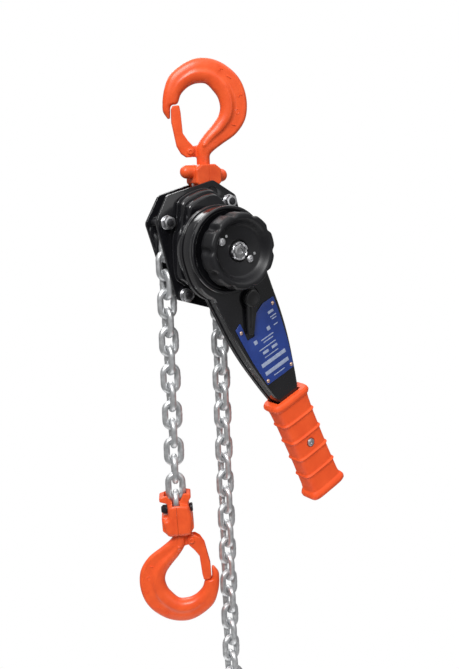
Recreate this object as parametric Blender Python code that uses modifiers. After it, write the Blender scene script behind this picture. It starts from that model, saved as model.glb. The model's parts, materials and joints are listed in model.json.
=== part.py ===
"""Lever chain hoist of the 1.6 tonne class, as an assembly of separate pieces.

Every group is drawn in its own axes: x to the right, y up and z towards the lever side.
An empty carries those axes into the world, where +Z is up and the lever side faces -Y.
The world's origin is the inner apex of the top hook's bowl, on the hook's swivel axis.
"""

import math

import bmesh
import bpy
from mathutils import Matrix, Vector

MM = 0.001
GAP = 0.3
MERGE = 0.00002

# Load chain: 7.1 x 21 mm, which sets the scale of everything else.
WIRE_RADIUS = 3.55
PITCH = 21.0
LINK_WIDTH = 23.1
SHEAVE_POCKETS = 5
WRAP_RADIUS = PITCH / 2 / math.tan(math.pi / (2 * SHEAVE_POCKETS))
FALL_X = 33.5

# Where the load sheave's centre hangs below the top hook's bowl.
SHEAVE_X = -20.0
SHEAVE_DROP = 175.5

# Angles at rest, in degrees.
BODY_TILT = 13.7
LEVER_ANGLE = 24.3
TOP_HOOK_TURN = -28.0
BOTTOM_HOOK_TURN = -30.0
BOTTOM_TILT = 2.5

# Side plates, and their centre relative to the shaft.
PLATE_INNER = 12.2
PLATE_THICK = 3.5
PLATE_OUTER = PLATE_INNER + PLATE_THICK
FRAME_CENTRE = (11.2, -1.0)
STAY_SQUARE = 40.8
STAY_RADIUS = 3.7
TOP_PIN = (20.0, 58.0)
TOP_PIN_RADIUS = 6.5

# Depths along the shaft, measured forward from the chain's plane.
COVER_STEPS = (PLATE_OUTER + GAP, 28.0, 37.0, 44.6)
REAR_SHELL_Z = (45.2, 55.4)
FRONT_SHELL_Z = (55.8, 73.0)
DRUM_FRONT = 78.0
WHEEL_Z = (83.0, 104.0)
CASE_DEPTH = 36.0

# Lever, in its own axes: the arm runs down local -y from the shaft.
DRUM_RADIUS = 46.5
ARM_WIDTHS = ((40, 37.5), (65, 36), (86, 35), (109, 32.7), (130, 29.3), (150, 25), (168, 20.8),
              (184, 16.5))
TONGUE_END = 300.0
TONGUE_HALF = 14.0
SELECTOR_HUB = (2.0, -59.0)

# Gear train, two equal centre distances so that the load gear is coaxial with the pinion.
MODULE = 1.4
TEETH_PINION = 12
TEETH_LARGE = 28
TEETH_SMALL = 11
TEETH_LOAD = 29
GEAR_CENTRES = MODULE * (TEETH_PINION + TEETH_LARGE) / 2

ROUND = 24


def mm(*values):
    """Turn millimetres into a Vector in metres."""
    return Vector([value * MM for value in values])


# ---------------------------------------------------------------- scene

def clear_scene():
    for item in list(bpy.data.objects):
        bpy.data.objects.remove(item, do_unlink=True)


def new_collection(name):
    group = bpy.data.collections.get(name) or bpy.data.collections.new(name)
    if name not in bpy.context.scene.collection.children:
        bpy.context.scene.collection.children.link(group)
    return group


def material(name, rgb, roughness, metallic):
    surface = bpy.data.materials.new(name)
    surface.use_nodes = True
    shader = surface.node_tree.nodes["Principled BSDF"]
    shader.inputs["Base Color"].default_value = (*rgb, 1.0)
    shader.inputs["Roughness"].default_value = roughness
    shader.inputs["Metallic"].default_value = metallic
    return surface


FINISHES = {
    "orange_enamel": ((0.86, 0.11, 0.035), 0.35, 0.0),
    "black_enamel": ((0.015, 0.015, 0.018), 0.22, 0.0),
    "zinc_steel": ((0.62, 0.63, 0.64), 0.38, 1.0),
    "bare_steel": ((0.45, 0.45, 0.46), 0.32, 1.0),
    "orange_grip": ((0.88, 0.10, 0.03), 0.55, 0.0),
    "black_moulding": ((0.02, 0.02, 0.022), 0.4, 0.0),
    "friction_lining": ((0.16, 0.12, 0.09), 0.9, 0.0),
    "blue_plate": ((0.012, 0.045, 0.22), 0.35, 0.2),
}


def axes(name, matrix):
    """An empty that carries a group's local axes into the world."""
    empty = bpy.data.objects.new(name, None)
    empty.empty_display_size = 0.01
    empty.matrix_world = matrix
    PARTS.objects.link(empty)
    return empty


def as_object(name, mesh, parent, finish=None):
    """Put a mesh in the scene: a part if it has a finish, and a hidden cutter if not."""
    item = bpy.data.objects.new(name, mesh)
    (PARTS if finish else CUTTERS).objects.link(item)
    item.parent = parent
    if finish:
        mesh.materials.clear()
        mesh.materials.append(material(name + "_finish", *FINISHES[finish]))
        mesh.shade_smooth()
        mesh.set_sharp_from_angle(angle=math.radians(35))
    else:
        item.hide_render = True
        item.display_type = "WIRE"
    return item


def boolean(item, tool, operation):
    modifier = item.modifiers.new(operation.lower(), "BOOLEAN")
    modifier.operation = operation
    modifier.object = tool
    return item


def cut(item, *tools):
    for tool in tools:
        boolean(item, tool, "DIFFERENCE")
    return item


def join(item, *tools):
    for tool in tools:
        boolean(item, tool, "UNION")
    return item


# ---------------------------------------------------------------- mesh tools, in millimetres

def finish_mesh(name, bm, move=None):
    if move is not None:
        bm.transform(move)
    bmesh.ops.scale(bm, vec=(MM, MM, MM), verts=bm.verts)
    bmesh.ops.recalc_face_normals(bm, faces=bm.faces)
    mesh = bpy.data.meshes.new(name)
    bm.to_mesh(mesh)
    bm.free()
    return mesh


def cylinder_mesh(name, radius, low, high, centre=(0, 0), axis="z", steps=ROUND, tip=None):
    """A cylinder or cone along a local axis, from low to high."""
    bm = bmesh.new()
    bmesh.ops.create_cone(
        bm, cap_ends=True, segments=steps, depth=high - low,
        radius1=radius, radius2=radius if tip is None else tip,
    )
    bm.transform(Matrix.Translation((0, 0, (low + high) / 2)))
    first, second = centre
    turn = {"z": Matrix(), "x": Matrix.Rotation(math.radians(90), 4, "Y"),
            "y": Matrix.Rotation(math.radians(-90), 4, "X")}[axis]
    place = {"z": (first, second, 0), "x": (0, first, second), "y": (first, 0, second)}[axis]
    return finish_mesh(name, bm, Matrix.Translation(place) @ turn)


def box_mesh(name, low, high):
    bm = bmesh.new()
    size = [b - a for a, b in zip(low, high)]
    middle = [(a + b) / 2 for a, b in zip(low, high)]
    bmesh.ops.create_cube(bm, size=1.0)
    bmesh.ops.scale(bm, vec=size, verts=bm.verts)
    return finish_mesh(name, bm, Matrix.Translation(middle))


def sphere_mesh(name, radius, centre, steps=12):
    bm = bmesh.new()
    bmesh.ops.create_uvsphere(bm, u_segments=steps, v_segments=steps // 2, radius=radius)
    return finish_mesh(name, bm, Matrix.Translation(centre))


def turned_mesh(name, profile, steps=ROUND):
    """Turn a closed profile of (radius, z) points about the local z axis with a Screw modifier.

    The points run down the outer side and up the inner one.
    """
    bm = bmesh.new()
    points = [bm.verts.new(mm(radius, 0, z)) for radius, z in profile]
    ends_on_axis = profile[0][0] == 0 and profile[-1][0] == 0
    for first, second in zip(points, points[1:]):
        bm.edges.new((first, second))
    if not ends_on_axis:
        bm.edges.new((points[-1], points[0]))
    mesh = bpy.data.meshes.new(name)
    bm.to_mesh(mesh)
    bm.free()
    holder = bpy.data.objects.new(name + "_profile", mesh)
    bpy.context.scene.collection.objects.link(holder)
    screw = holder.modifiers.new("turn", "SCREW")
    screw.steps = steps
    screw.render_steps = steps
    screw.use_merge_vertices = True
    screw.merge_threshold = MERGE
    return baked(holder, name)


def baked(holder, name):
    """The evaluated mesh of a helper object, with its loose caps welded; the helper goes."""
    bpy.context.view_layer.update()
    graph = bpy.context.evaluated_depsgraph_get()
    mesh = bpy.data.meshes.new_from_object(holder.evaluated_get(graph))
    mesh.name = name
    bpy.data.objects.remove(holder, do_unlink=True)
    bm = bmesh.new()
    bm.from_mesh(mesh)
    bmesh.ops.remove_doubles(bm, verts=bm.verts, dist=MERGE)
    bmesh.ops.recalc_face_normals(bm, faces=bm.faces)
    bm.to_mesh(mesh)
    bm.free()
    return mesh


def plate_mesh(name, outlines, low, high, bevel=0.0):
    """Extrude a flat outline, with any holes, from low to high along local z."""
    curve = bpy.data.curves.new(name, "CURVE")
    curve.dimensions = "2D"
    curve.fill_mode = "BOTH"
    curve.extrude = (high - low) / 2 * MM
    for outline in outlines:
        spline = curve.splines.new("POLY")
        spline.points.add(len(outline) - 1)
        spline.use_cyclic_u = True
        for point, (x, y) in zip(spline.points, outline):
            point.co = (x * MM, y * MM, 0, 1)
    holder = bpy.data.objects.new(name + "_outline", curve)
    bpy.context.scene.collection.objects.link(holder)
    mesh = baked(holder, name)
    mesh.transform(Matrix.Translation(mm(0, 0, (low + high) / 2)))
    if bevel:
        soften(mesh, bevel)
    return mesh


def soften(mesh, width, segments=1, angle=35):
    """Bevel every edge sharper than the angle, given in degrees."""
    bm = bmesh.new()
    bm.from_mesh(mesh)
    limit = math.radians(angle)
    sharp = [edge for edge in bm.edges
             if len(edge.link_faces) == 2 and edge.calc_face_angle(0) > limit]
    bmesh.ops.bevel(bm, geom=sharp, offset=width * MM, segments=segments, affect="EDGES", profile=0.5)
    bm.to_mesh(mesh)
    bm.free()


def circle(radius, centre=(0, 0), steps=ROUND):
    return [(centre[0] + radius * math.cos(math.tau * i / steps),
             centre[1] + radius * math.sin(math.tau * i / steps)) for i in range(steps)]


def rounded(corners, radius, steps=3):
    """Round each corner of a closed polygon with an arc."""
    points = []
    for index, corner in enumerate(corners):
        here = Vector(corner)
        back = (Vector(corners[index - 1]) - here).normalized()
        ahead = (Vector(corners[(index + 1) % len(corners)]) - here).normalized()
        half = back.angle(ahead) / 2
        reach = radius / math.tan(half)
        centre = here + (back + ahead).normalized() * (radius / math.sin(half))
        start = here + back * reach - centre
        sweep = start.angle_signed(here + ahead * reach - centre)
        for step in range(steps + 1):
            turn = Matrix.Rotation(-sweep * step / steps, 2)
            points.append(tuple(centre + turn @ start))
    return points


def inset(outline, distance):
    """Move a convex outline's points inwards."""
    middle = sum((Vector(point) for point in outline), Vector((0, 0))) / len(outline)
    moved = []
    for point in outline:
        arm = Vector(point) - middle
        moved.append(tuple(middle + arm * (1 - distance / arm.length)))
    return moved


def turned_points(points, degrees, shift=(0, 0)):
    turn = Matrix.Rotation(math.radians(degrees), 2)
    return [tuple(turn @ Vector(point) + Vector(shift)) for point in points]


def gear_outline(teeth, module=MODULE, start=0.0):
    """Straight-flanked teeth with backlash; a tooth sits at the start angle."""
    pitch_radius = module * teeth / 2
    root = pitch_radius - 1.3 * module
    tip = pitch_radius + 0.8 * module
    quarter = math.tau / teeth / 4
    slope = math.tan(math.radians(20))
    backlash = 0.1 * module / pitch_radius
    points = []
    for index in range(teeth):
        middle = start + math.tau * index / teeth
        wide = quarter - backlash + slope * (pitch_radius - root) / pitch_radius
        narrow = quarter - backlash - slope * (tip - pitch_radius) / pitch_radius
        for radius, angle in ((root, -wide), (tip, -narrow), (tip, narrow), (root, wide)):
            points.append((radius * math.cos(middle + angle), radius * math.sin(middle + angle)))
    return points


def loft_mesh(name, rings):
    """A closed skin through rings of equal point counts, with flat ends."""
    bm = bmesh.new()
    loops = [[bm.verts.new(point) for point in ring] for ring in rings]
    count = len(rings[0])
    for first, second in zip(loops, loops[1:]):
        for i in range(count):
            bm.faces.new((first[i], first[(i + 1) % count], second[(i + 1) % count], second[i]))
    bm.faces.new(reversed(loops[0]))
    bm.faces.new(loops[-1])
    return finish_mesh(name, bm)


# ---------------------------------------------------------------- hooks

# Stations along the hook from its point to its shank, the bowl's apex at the origin and the
# shank below it: inner x, inner y, outer x, outer y, thickness. The inner points on either side
# of the apex share one height, so that the load rests on a small flat land.
HOOK_STATIONS = (
    (-34.3, -36.2, -36.8, -37.0, 6.0),
    (-34.0, -30.0, -41.6, -29.4, 11.0),
    (-33.6, -24.6, -42.2, -23.6, 12.2),
    (-31.2, -21.8, -42.0, -21.6, 12.8),
    (-25.6, -20.6, -41.8, -17.0, 13.5),
    (-21.8, -11.5, -39.4, -5.0, 15.0),
    (-15.6, -5.0, -33.2, 9.0, 16.5),
    (-9.6, -1.5, -20.4, 19.6, 17.6),
    (-4.2, 0.0, -6.0, 26.0, 18.4),
    (4.2, 0.0, 8.0, 26.4, 18.4),
    (9.2, -3.2, 21.4, 22.4, 18.8),
    (14.4, -9.4, 33.4, 14.4, 19.2),
    (17.2, -13.2, 42.0, 5.0, 19.4),
    (19.4, -18.6, 47.8, -7.4, 19.5),
    (20.5, -26.8, 50.2, -23.5, 19.5),
    (17.8, -35.5, 47.4, -40.0, 18.5),
    (11.0, -44.5, 37.0, -54.5, 17.5),
    (1.5, -55.0, 21.5, -65.0, 17.0),
    (-5.8, -66.0, 11.0, -72.5, 16.2),
    (-7.0, -76.5, 7.1, -78.0, 14.2),
    (-6.9, -86.0, 6.9, -86.0, 13.8),
)
HOOK_SIDES = 10
SHANK_RADIUS = 7.3
SHANK_END = -94.5
HEAD_RADIUS = 10.0
HEAD_SPAN = (-96.8, -92.8)
LATCH_PIVOT = (-14.0, -72.4)
LATCH_PIN_RADIUS = 2.2


def squareness(cosine, sine, power=2.6):
    """How far a rounded square reaches beyond the circle in a direction."""
    return (abs(cosine) ** power + abs(sine) ** power) ** (-1 / power)


def hook_rings():
    """Ten-sided sections with a flat facet on the inner and on the outer line."""
    half_step = math.pi / HOOK_SIDES
    facet = math.cos(half_step) * squareness(math.cos(half_step), math.sin(half_step))
    rings = []
    for ix, iy, ox, oy, thick in HOOK_STATIONS:
        middle = Vector(((ix + ox) / 2, (iy + oy) / 2, 0))
        across = Vector(((ox - ix) / 2, (oy - iy) / 2, 0)) / facet
        ring = []
        for i in range(HOOK_SIDES):
            angle = math.tau * (i + 0.5) / HOOK_SIDES
            c, s = math.cos(angle), math.sin(angle)
            reach = squareness(c, s)
            ring.append(middle + across * c * reach + Vector((0, 0, thick / 2 * s * reach)))
        rings.append(ring)
    return rings


def hook(name, parent):
    """A forged swivel hook with a step behind its point, a lug and an upset head on its shank."""
    body = as_object(name, loft_mesh(name, hook_rings()), parent, "orange_enamel")
    shank = as_object(name + "_shank", cylinder_mesh(
        "shank", SHANK_RADIUS, SHANK_END, -80, axis="y", steps=16), parent)
    head = as_object(name + "_head", cylinder_mesh(
        "head", HEAD_RADIUS, *HEAD_SPAN, axis="y", steps=16), parent)
    lug_outline = [(LATCH_PIVOT[0] + 5.5 * math.cos(a), LATCH_PIVOT[1] + 5.5 * math.sin(a))
                   for a in [math.radians(100 + 20 * k) for k in range(9)]]
    lug_outline += [(-4, LATCH_PIVOT[1] - 6), (-2, LATCH_PIVOT[1] + 7.5), (-8, LATCH_PIVOT[1] + 6.5)]
    lug = as_object(name + "_lug", plate_mesh("lug", [lug_outline], -3.0, 3.0), parent)
    hole = as_object(name + "_lug_hole", cylinder_mesh(
        "lug_hole", LATCH_PIN_RADIUS + GAP, -9, 9, LATCH_PIVOT, steps=12), parent)
    join(body, shank, head, lug)
    return cut(body, hole)


LATCH_OUTLINE = (
    (-33.1, -26.6), (-31.4, -23.2), (-24.2, -22.8), (-22.9, -30.0), (-21.4, -52.5), (-16.5, -60.0), (-11.0, -66.2),
    (-8.6, -71.0), (-8.9, -75.5), (-12.5, -78.1), (-18.5, -78.2), (-24.0, -74.3), (-28.6, -66.0),
    (-33.3, -40.0),
)


def latch(name, parent):
    """A folded latch whose two cheeks straddle the hook's lug and turn on its pin."""
    body = as_object(name, plate_mesh(name, [LATCH_OUTLINE], -6.2, 6.2), parent, "orange_enamel")
    slot = as_object(name + "_slot", box_mesh("slot", (-40, -90, -3.6), (0, -56, 3.6)), parent)
    hole = as_object(name + "_hole", cylinder_mesh(
        "latch_hole", LATCH_PIN_RADIUS + GAP, -9, 9, LATCH_PIVOT, steps=12), parent)
    relief = as_object(name + "_relief", box_mesh("relief", (-9.8, -90, -9), (0, -56, 9)), parent)
    return cut(body, slot, hole, relief)


def latch_pin(name, parent):
    """A headed pin through the lug and both cheeks."""
    body = as_object(name, cylinder_mesh(
        name, LATCH_PIN_RADIUS, -7.4, 7.4, LATCH_PIVOT, steps=12), parent, "zinc_steel")
    ends = [as_object("%s_head_%d" % (name, side), cylinder_mesh(
        "pin_head", 3.6, *sorted((6.6 * side, 8.0 * side)), LATCH_PIVOT, steps=12), parent)
        for side in (-1, 1)]
    return join(body, *ends)


# ---------------------------------------------------------------- chain

# Half length and half width of a link along its wire's centre line; neighbouring links bite
# into each other a little, so that a run is one body.
BITE = 0.35
LINK_HALF = PITCH / 2 + WIRE_RADIUS - BITE
LINK_BEND = LINK_WIDTH / 2 - WIRE_RADIUS
CROWN = LINK_BEND * math.tan(math.radians(30))


def add_link(bm, place):
    """Sweep a square wire section round an eight-cornered link, long way along local y."""
    sides = 4
    shoulder = LINK_HALF - LINK_BEND
    path = [Vector((x, y, 0)) for x, y in (
        (LINK_BEND, shoulder), (CROWN, LINK_HALF), (-CROWN, LINK_HALF), (-LINK_BEND, shoulder),
        (-LINK_BEND, -shoulder), (-CROWN, -LINK_HALF), (CROWN, -LINK_HALF), (LINK_BEND, -shoulder))]
    count = len(path)
    rings = []
    for i, point in enumerate(path):
        before = (point - path[i - 1]).normalized()
        after = (path[(i + 1) % count] - point).normalized()
        along = (before + after).normalized()
        side = along.cross(Vector((0, 0, 1))) / along.dot(after)
        ring = []
        for k in range(sides):
            angle = math.tau * k / sides
            offset = (side * math.cos(angle) + Vector((0, 0, math.sin(angle)))) * WIRE_RADIUS
            ring.append(bm.verts.new(place @ (point + offset)))
        rings.append(ring)
    for i in range(count):
        first, second = rings[i], rings[(i + 1) % count]
        for k in range(sides):
            after = (k + 1) % sides
            bm.faces.new((first[k], second[k], second[after], first[after]))


def chain_run(name, stations, parent):
    """A run of links joined where they touch.

    A station is (x, y, direction, twist) with angles in degrees; a twist of 90 puts a link edge-on.
    """
    groups = [bmesh.new(), bmesh.new()]
    for index, (x, y, direction, twist) in enumerate(stations):
        place = Matrix.Translation((x, y, 0)) @ Matrix.Rotation(math.radians(direction), 4, "Z")
        add_link(groups[index % 2], place @ Matrix.Rotation(math.radians(twist), 4, "Y"))
    body = as_object(name, finish_mesh(name, groups[0]), parent, "zinc_steel")
    others = as_object(name + "_other_links", finish_mesh("other_links", groups[1]), parent)
    return join(body, others)


def straight_fall(x, top, links, last_twist=0.0):
    """Links hanging straight down, from one flat to the front to one turned by last_twist."""
    return [(x, top - PITCH * i, 0.0, 90.0 * (i % 2) + last_twist * i / (links - 1))
            for i in range(links)]


# ---------------------------------------------------------------- build

clear_scene()
PARTS = new_collection("lever_chain_hoist")
CUTTERS = new_collection("cutters")

UPRIGHT = Matrix.Rotation(math.radians(90), 4, "X")
HOIST = Matrix.Translation(mm(SHEAVE_X, 0, -SHEAVE_DROP)) @ UPRIGHT
BODY_TURN = Matrix.Rotation(math.radians(BODY_TILT), 4, "Z")

hoist_axes = axes("hoist_axes", HOIST)
plate_axes = axes("plate_axes", HOIST @ Matrix.Translation(mm(*FRAME_CENTRE, 0)) @ BODY_TURN)
gear_axes = axes("gear_axes", HOIST @ BODY_TURN)
lever_axes = axes("lever_axes", HOIST @ Matrix.Rotation(math.radians(LEVER_ANGLE), 4, "Z"))
top_hook_axes = axes("top_hook_axes", Matrix.Rotation(math.radians(TOP_HOOK_TURN), 4, "Z") @ UPRIGHT)


def top_hook_group():
    hook("top_hook", top_hook_axes)
    latch_pin("top_latch_pin", top_hook_axes)
    latch("top_latch", top_hook_axes)


# Top yoke: two halves clamp the hook's head above the top pin.
YOKE_X = TOP_PIN[0]
YOKE_OUTLINE = ((-16.2, 69.5), (-16.2, 84.0), (-9.0, 89.3), (9.0, 89.3), (16.2, 84.0), (16.2, 69.5),
                (10.5, 64.5), (10.5, 55.0), (6.5, 49.0), (-6.5, 49.0), (-10.5, 55.0), (-10.5, 64.5))
YOKE_DEPTH = 11.7
KNOB_LIFT = 2.3
RIVET_RADIUS = 2.0
RIVET_Y = 67.8


def top_yoke_group():
    head_top = SHEAVE_DROP + HEAD_SPAN[1]
    head_bottom = SHEAVE_DROP + HEAD_SPAN[0]
    outline = rounded([(YOKE_X + x, y) for x, y in YOKE_OUTLINE], 1.8, 1)
    for name, side in (("top_yoke_left", -1), ("top_yoke_right", 1)):
        body = as_object(name, plate_mesh(name, [outline], -YOKE_DEPTH, YOKE_DEPTH, bevel=1.0),
                         hoist_axes, "orange_enamel")
        knob = (YOKE_X + side * 22.0, 79.2 - side * KNOB_LIFT)
        ear = cylinder_mesh("ear", 7.2, *sorted((YOKE_X + side * 12, knob[0])), (knob[1], 0), "x", 12)
        dome = sphere_mesh("dome", 7.4, (*knob, 0), 12)
        join(body, as_object(name + "_ear", ear, hoist_axes),
             as_object(name + "_dome", dome, hoist_axes))
        far, near = YOKE_X - side * 40, YOKE_X + side * 0.15
        tools = [box_mesh("other_half", (min(far, near), 40, -20), (max(far, near), 100, 20)),
                 cylinder_mesh("shank_hole", SHANK_RADIUS + 0.4, head_top - 1, 100, (YOKE_X, 0), "y", 16),
                 cylinder_mesh("head_room", HEAD_RADIUS + 0.4, head_bottom - 0.4, head_top + 0.4,
                               (YOKE_X, 0), "y", 16),
                 cylinder_mesh("pin_hole", TOP_PIN_RADIUS + GAP, -20, 20, TOP_PIN, steps=16),
                 cylinder_mesh("rivet_hole", RIVET_RADIUS + GAP, YOKE_X - 30, YOKE_X + 30,
                               (RIVET_Y, 0), "x", 12)]
        cut(body, *[as_object("%s_cut_%d" % (name, k), mesh, hoist_axes)
                    for k, mesh in enumerate(tools)])
    as_object("top_yoke_rivet", cylinder_mesh(
        "top_yoke_rivet", RIVET_RADIUS, YOKE_X - 15.0, YOKE_X + 15.0, (RIVET_Y, 0), "x", 12),
        hoist_axes, "zinc_steel")


# Frame: two plates held apart by four stay bolts.
FRONT_PLATE = ((-53, 45), (-32, 68), (28, 68.5), (52, 45), (52, -43), (12, -68), (-12, -67), (-52.5, -42.5))
REAR_PLATE = ((-51, 42), (-27, 66.5), (26, 67.5), (50, 45), (50, -43), (12, -67), (-12, -66), (-46, -43))
BOLT_PLACES = ((-1, 1), (1, 1), (1, -1), (-1, -1))
SHEAVE_HUB = 12.0


def plate_local(point):
    """A point of the hoist's axes, seen in the plate's axes."""
    arm = Vector(point) - Vector(FRAME_CENTRE)
    return tuple(Matrix.Rotation(math.radians(-BODY_TILT), 2) @ arm)


def side_plates():
    bolt_holes = [circle(STAY_RADIUS + GAP, (sx * STAY_SQUARE, sy * STAY_SQUARE), 12)
                  for sx, sy in BOLT_PLACES]
    pin_hole = circle(TOP_PIN_RADIUS + GAP, plate_local(TOP_PIN), 16)
    for name, corners, side, hub_hole in (
            ("front_side_plate", FRONT_PLATE, 1, 10.2),
            ("rear_side_plate", REAR_PLATE, -1, SHEAVE_HUB + 0.4)):
        holes = bolt_holes + [pin_hole, circle(hub_hole, plate_local((0, 0)), 20)]
        low, high = sorted((side * PLATE_INNER, side * PLATE_OUTER))
        as_object(name, plate_mesh(name, [rounded(corners, 7, 2)] + holes, low, high),
                  plate_axes, "black_enamel")


def stay_bolts():
    """Studs with a riveted rear end, and a washer-faced nut on each front end."""
    for number, (sx, sy) in enumerate(BOLT_PLACES, 1):
        centre = (sx * STAY_SQUARE, sy * STAY_SQUARE)
        as_object("stay_bolt_%d" % number, cylinder_mesh(
            "stay_bolt", STAY_RADIUS, -PLATE_OUTER, 25.0, centre, steps=12), plate_axes, "zinc_steel")
        nut = as_object("stay_nut_%d" % number, plate_mesh(
            "stay_nut", [circle(7.5, centre, 6), circle(STAY_RADIUS + GAP, centre, 12)],
            PLATE_OUTER + 1.6, PLATE_OUTER + 7.8), plate_axes, "zinc_steel")
        washer = as_object("stay_washer_%d" % number, plate_mesh(
            "stay_washer", [circle(7.6, centre, 12), circle(STAY_RADIUS + GAP, centre, 12)],
            PLATE_OUTER + GAP, PLATE_OUTER + 1.9), plate_axes)
        join(nut, washer)


def top_pin():
    as_object("top_pin", cylinder_mesh(
        "top_pin", TOP_PIN_RADIUS, -PLATE_OUTER, PLATE_OUTER, TOP_PIN, steps=16),
        hoist_axes, "black_enamel")


COVER_OUTLINE = ((-33, -27), (-33.5, 10), (-28.6, 26), (-27.2, 40), (-24, 52), (-8, 60.5), (12, 63.5),
                 (27, 52), (36.5, 34), (43, 18), (43, -18), (31, -44), (12, -53), (-6, -48), (-25, -37))
DRUM_HOLE = 16.5


def brake_cover():
    """A pressed cover in two steps and a round boss, open at the back."""
    base = rounded(COVER_OUTLINE, 5, 1)
    wall = 2.2
    low, first, second, top = COVER_STEPS
    body = as_object("brake_cover", plate_mesh("brake_cover", [base], low, first, bevel=1.5),
                     hoist_axes, "black_enamel")
    step = as_object("brake_cover_step", plate_mesh(
        "step", [inset(base, 5)], first - 3, second, bevel=1.5), hoist_axes)
    boss = as_object("brake_cover_boss", cylinder_mesh("boss", 34, second - 3, top, tip=32.5), hoist_axes)
    room = as_object("brake_cover_room", plate_mesh(
        "room", [inset(base, wall)], low - 1, first - wall), hoist_axes)
    room_step = as_object("brake_cover_room_step", plate_mesh(
        "room_step", [inset(base, 5 + wall)], first - wall - 1, second - wall), hoist_axes)
    room_boss = as_object("brake_cover_room_boss", cylinder_mesh(
        "room_boss", 34 - wall, second - wall - 1, top - wall), hoist_axes)
    hole = as_object("brake_cover_hole", cylinder_mesh("hole", DRUM_HOLE, top - 5, top + 5), hoist_axes)
    join(body, step, boss)
    cut(body, room, room_step, room_boss, hole)


CASE_OUTLINE = ((-11, 52.5), (11, 52.5), (25, 37), (25, -37), (11, -52.5), (-11, -52.5), (-25, -37),
                (-25, 37))


def gear_case():
    """A pressed cup over the reduction gears, open towards the rear plate."""
    outline = rounded(CASE_OUTLINE, 7, 3)
    wall = 2.0
    body = as_object("gear_case", plate_mesh(
        "gear_case", [outline], -CASE_DEPTH, -PLATE_OUTER - GAP, bevel=2.0), gear_axes, "black_enamel")
    room = as_object("gear_case_room", plate_mesh(
        "case_room", [inset(outline, wall)], -CASE_DEPTH + wall, 0), gear_axes)
    cut(body, room)


def chain_guides():
    as_object("chain_guide_block", plate_mesh("chain_guide_block", [rounded(
        ((-12, -50), (8, -50), (16, -40), (10, -38), (-10, -38), (-16, -42)), 1.5, 2)],
        -PLATE_INNER + GAP, PLATE_INNER - GAP), hoist_axes, "zinc_steel")
    as_object("chain_guide_roller", cylinder_mesh(
        "chain_guide_roller", 4.6, -PLATE_INNER + GAP, PLATE_INNER - GAP, (51.5, 14), steps=16),
        hoist_axes, "zinc_steel")


PAWL_PIVOT = (10.0, 44.0)
PAWL_OUTLINE = ((15.0, 44.0), (13.5, 40.5), (9.0, 39.3), (-8.5, 31.2), (-10.2, 35.0), (6.0, 47.0),
                (10.0, 49.0), (13.8, 47.4))
PAWL_TURNS = (0.0, -150.0)
RATCHET_Z = (21.4, 25.4)


def ratchet_pawls():
    for number, turn in enumerate(PAWL_TURNS, 1):
        centre = turned_points([PAWL_PIVOT], turn)[0]
        as_object("ratchet_pawl_%d" % number, plate_mesh("ratchet_pawl", [
            turned_points(PAWL_OUTLINE, turn), circle(2.5 + GAP, centre, 16)],
            RATCHET_Z[0] + 0.4, RATCHET_Z[1] - 0.4), hoist_axes, "bare_steel")
        as_object("ratchet_pawl_pin_%d" % number, cylinder_mesh(
            "ratchet_pawl_pin", 2.5, PLATE_OUTER + GAP, RATCHET_Z[1], centre, steps=16),
            hoist_axes, "bare_steel")


# Load sheave and the reduction gears behind it.
SHAFT_RADIUS = 7.0
LOAD_GEAR_Z = (-24.5, -17.5)
PINION_Z = (-31.5, -26.0)


def load_sheave():
    bore = SHAFT_RADIUS + GAP
    shoulder, groove = 28.2, 20.0
    face = PLATE_INNER - GAP
    profile = ((9.6, PLATE_OUTER), (9.6, face), (shoulder - 5, face), (shoulder, face - 3),
               (shoulder, 4.6), (groove, 4.0), (groove, -4.0), (shoulder, -4.6), (shoulder, -face + 3),
               (shoulder - 5, -face), (SHEAVE_HUB, -face), (SHEAVE_HUB, LOAD_GEAR_Z[0] - 0.4),
               (bore, LOAD_GEAR_Z[0] - 0.4), (bore, PLATE_OUTER))
    body = as_object("load_sheave", turned_mesh("load_sheave", profile), hoist_axes, "bare_steel")
    for index in range(SHEAVE_POCKETS):
        turn = Matrix.Rotation(math.radians(180 - WRAP_START + index * 360 / SHEAVE_POCKETS), 4, "Z")
        pocket = box_mesh("pocket", (26.4, -8.5, -14), (40, 8.5, 14))
        pocket.transform(turn)
        cut(body, as_object("load_sheave_pocket_%d" % index, pocket, hoist_axes))


def gears():
    """The pinion is on the shaft; each reduction gear carries a large and a small wheel."""
    as_object("load_gear", plate_mesh("load_gear", [
        gear_outline(TEETH_LOAD, start=math.pi / 2), circle(SHEAVE_HUB + GAP)], *LOAD_GEAR_Z),
        gear_axes, "bare_steel")
    for number, side in ((1, 1), (2, -1)):
        centre = (0, side * GEAR_CENTRES)
        facing = -side * math.pi / 2
        large = turned_points(gear_outline(TEETH_LARGE, start=facing + math.pi / TEETH_LARGE), 0, centre)
        # The load gear's odd teeth put a tooth at the top and a gap at the bottom.
        half_tooth = math.pi / TEETH_SMALL if side > 0 else 0.0
        small = turned_points(gear_outline(TEETH_SMALL, start=facing + half_tooth), 0, centre)
        body = as_object("reduction_gear_%d" % number, plate_mesh(
            "reduction_gear", [large], *PINION_Z), gear_axes, "bare_steel")
        pinion = as_object("reduction_gear_%d_small" % number, plate_mesh(
            "small", [small], PINION_Z[1] - 1, LOAD_GEAR_Z[1]), gear_axes)
        journal = as_object("reduction_gear_%d_journal" % number, cylinder_mesh(
            "journal", 4.0, PINION_Z[0] - 1.8, LOAD_GEAR_Z[1] + 1.2, centre, steps=12), gear_axes)
        join(body, pinion, journal)


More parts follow.
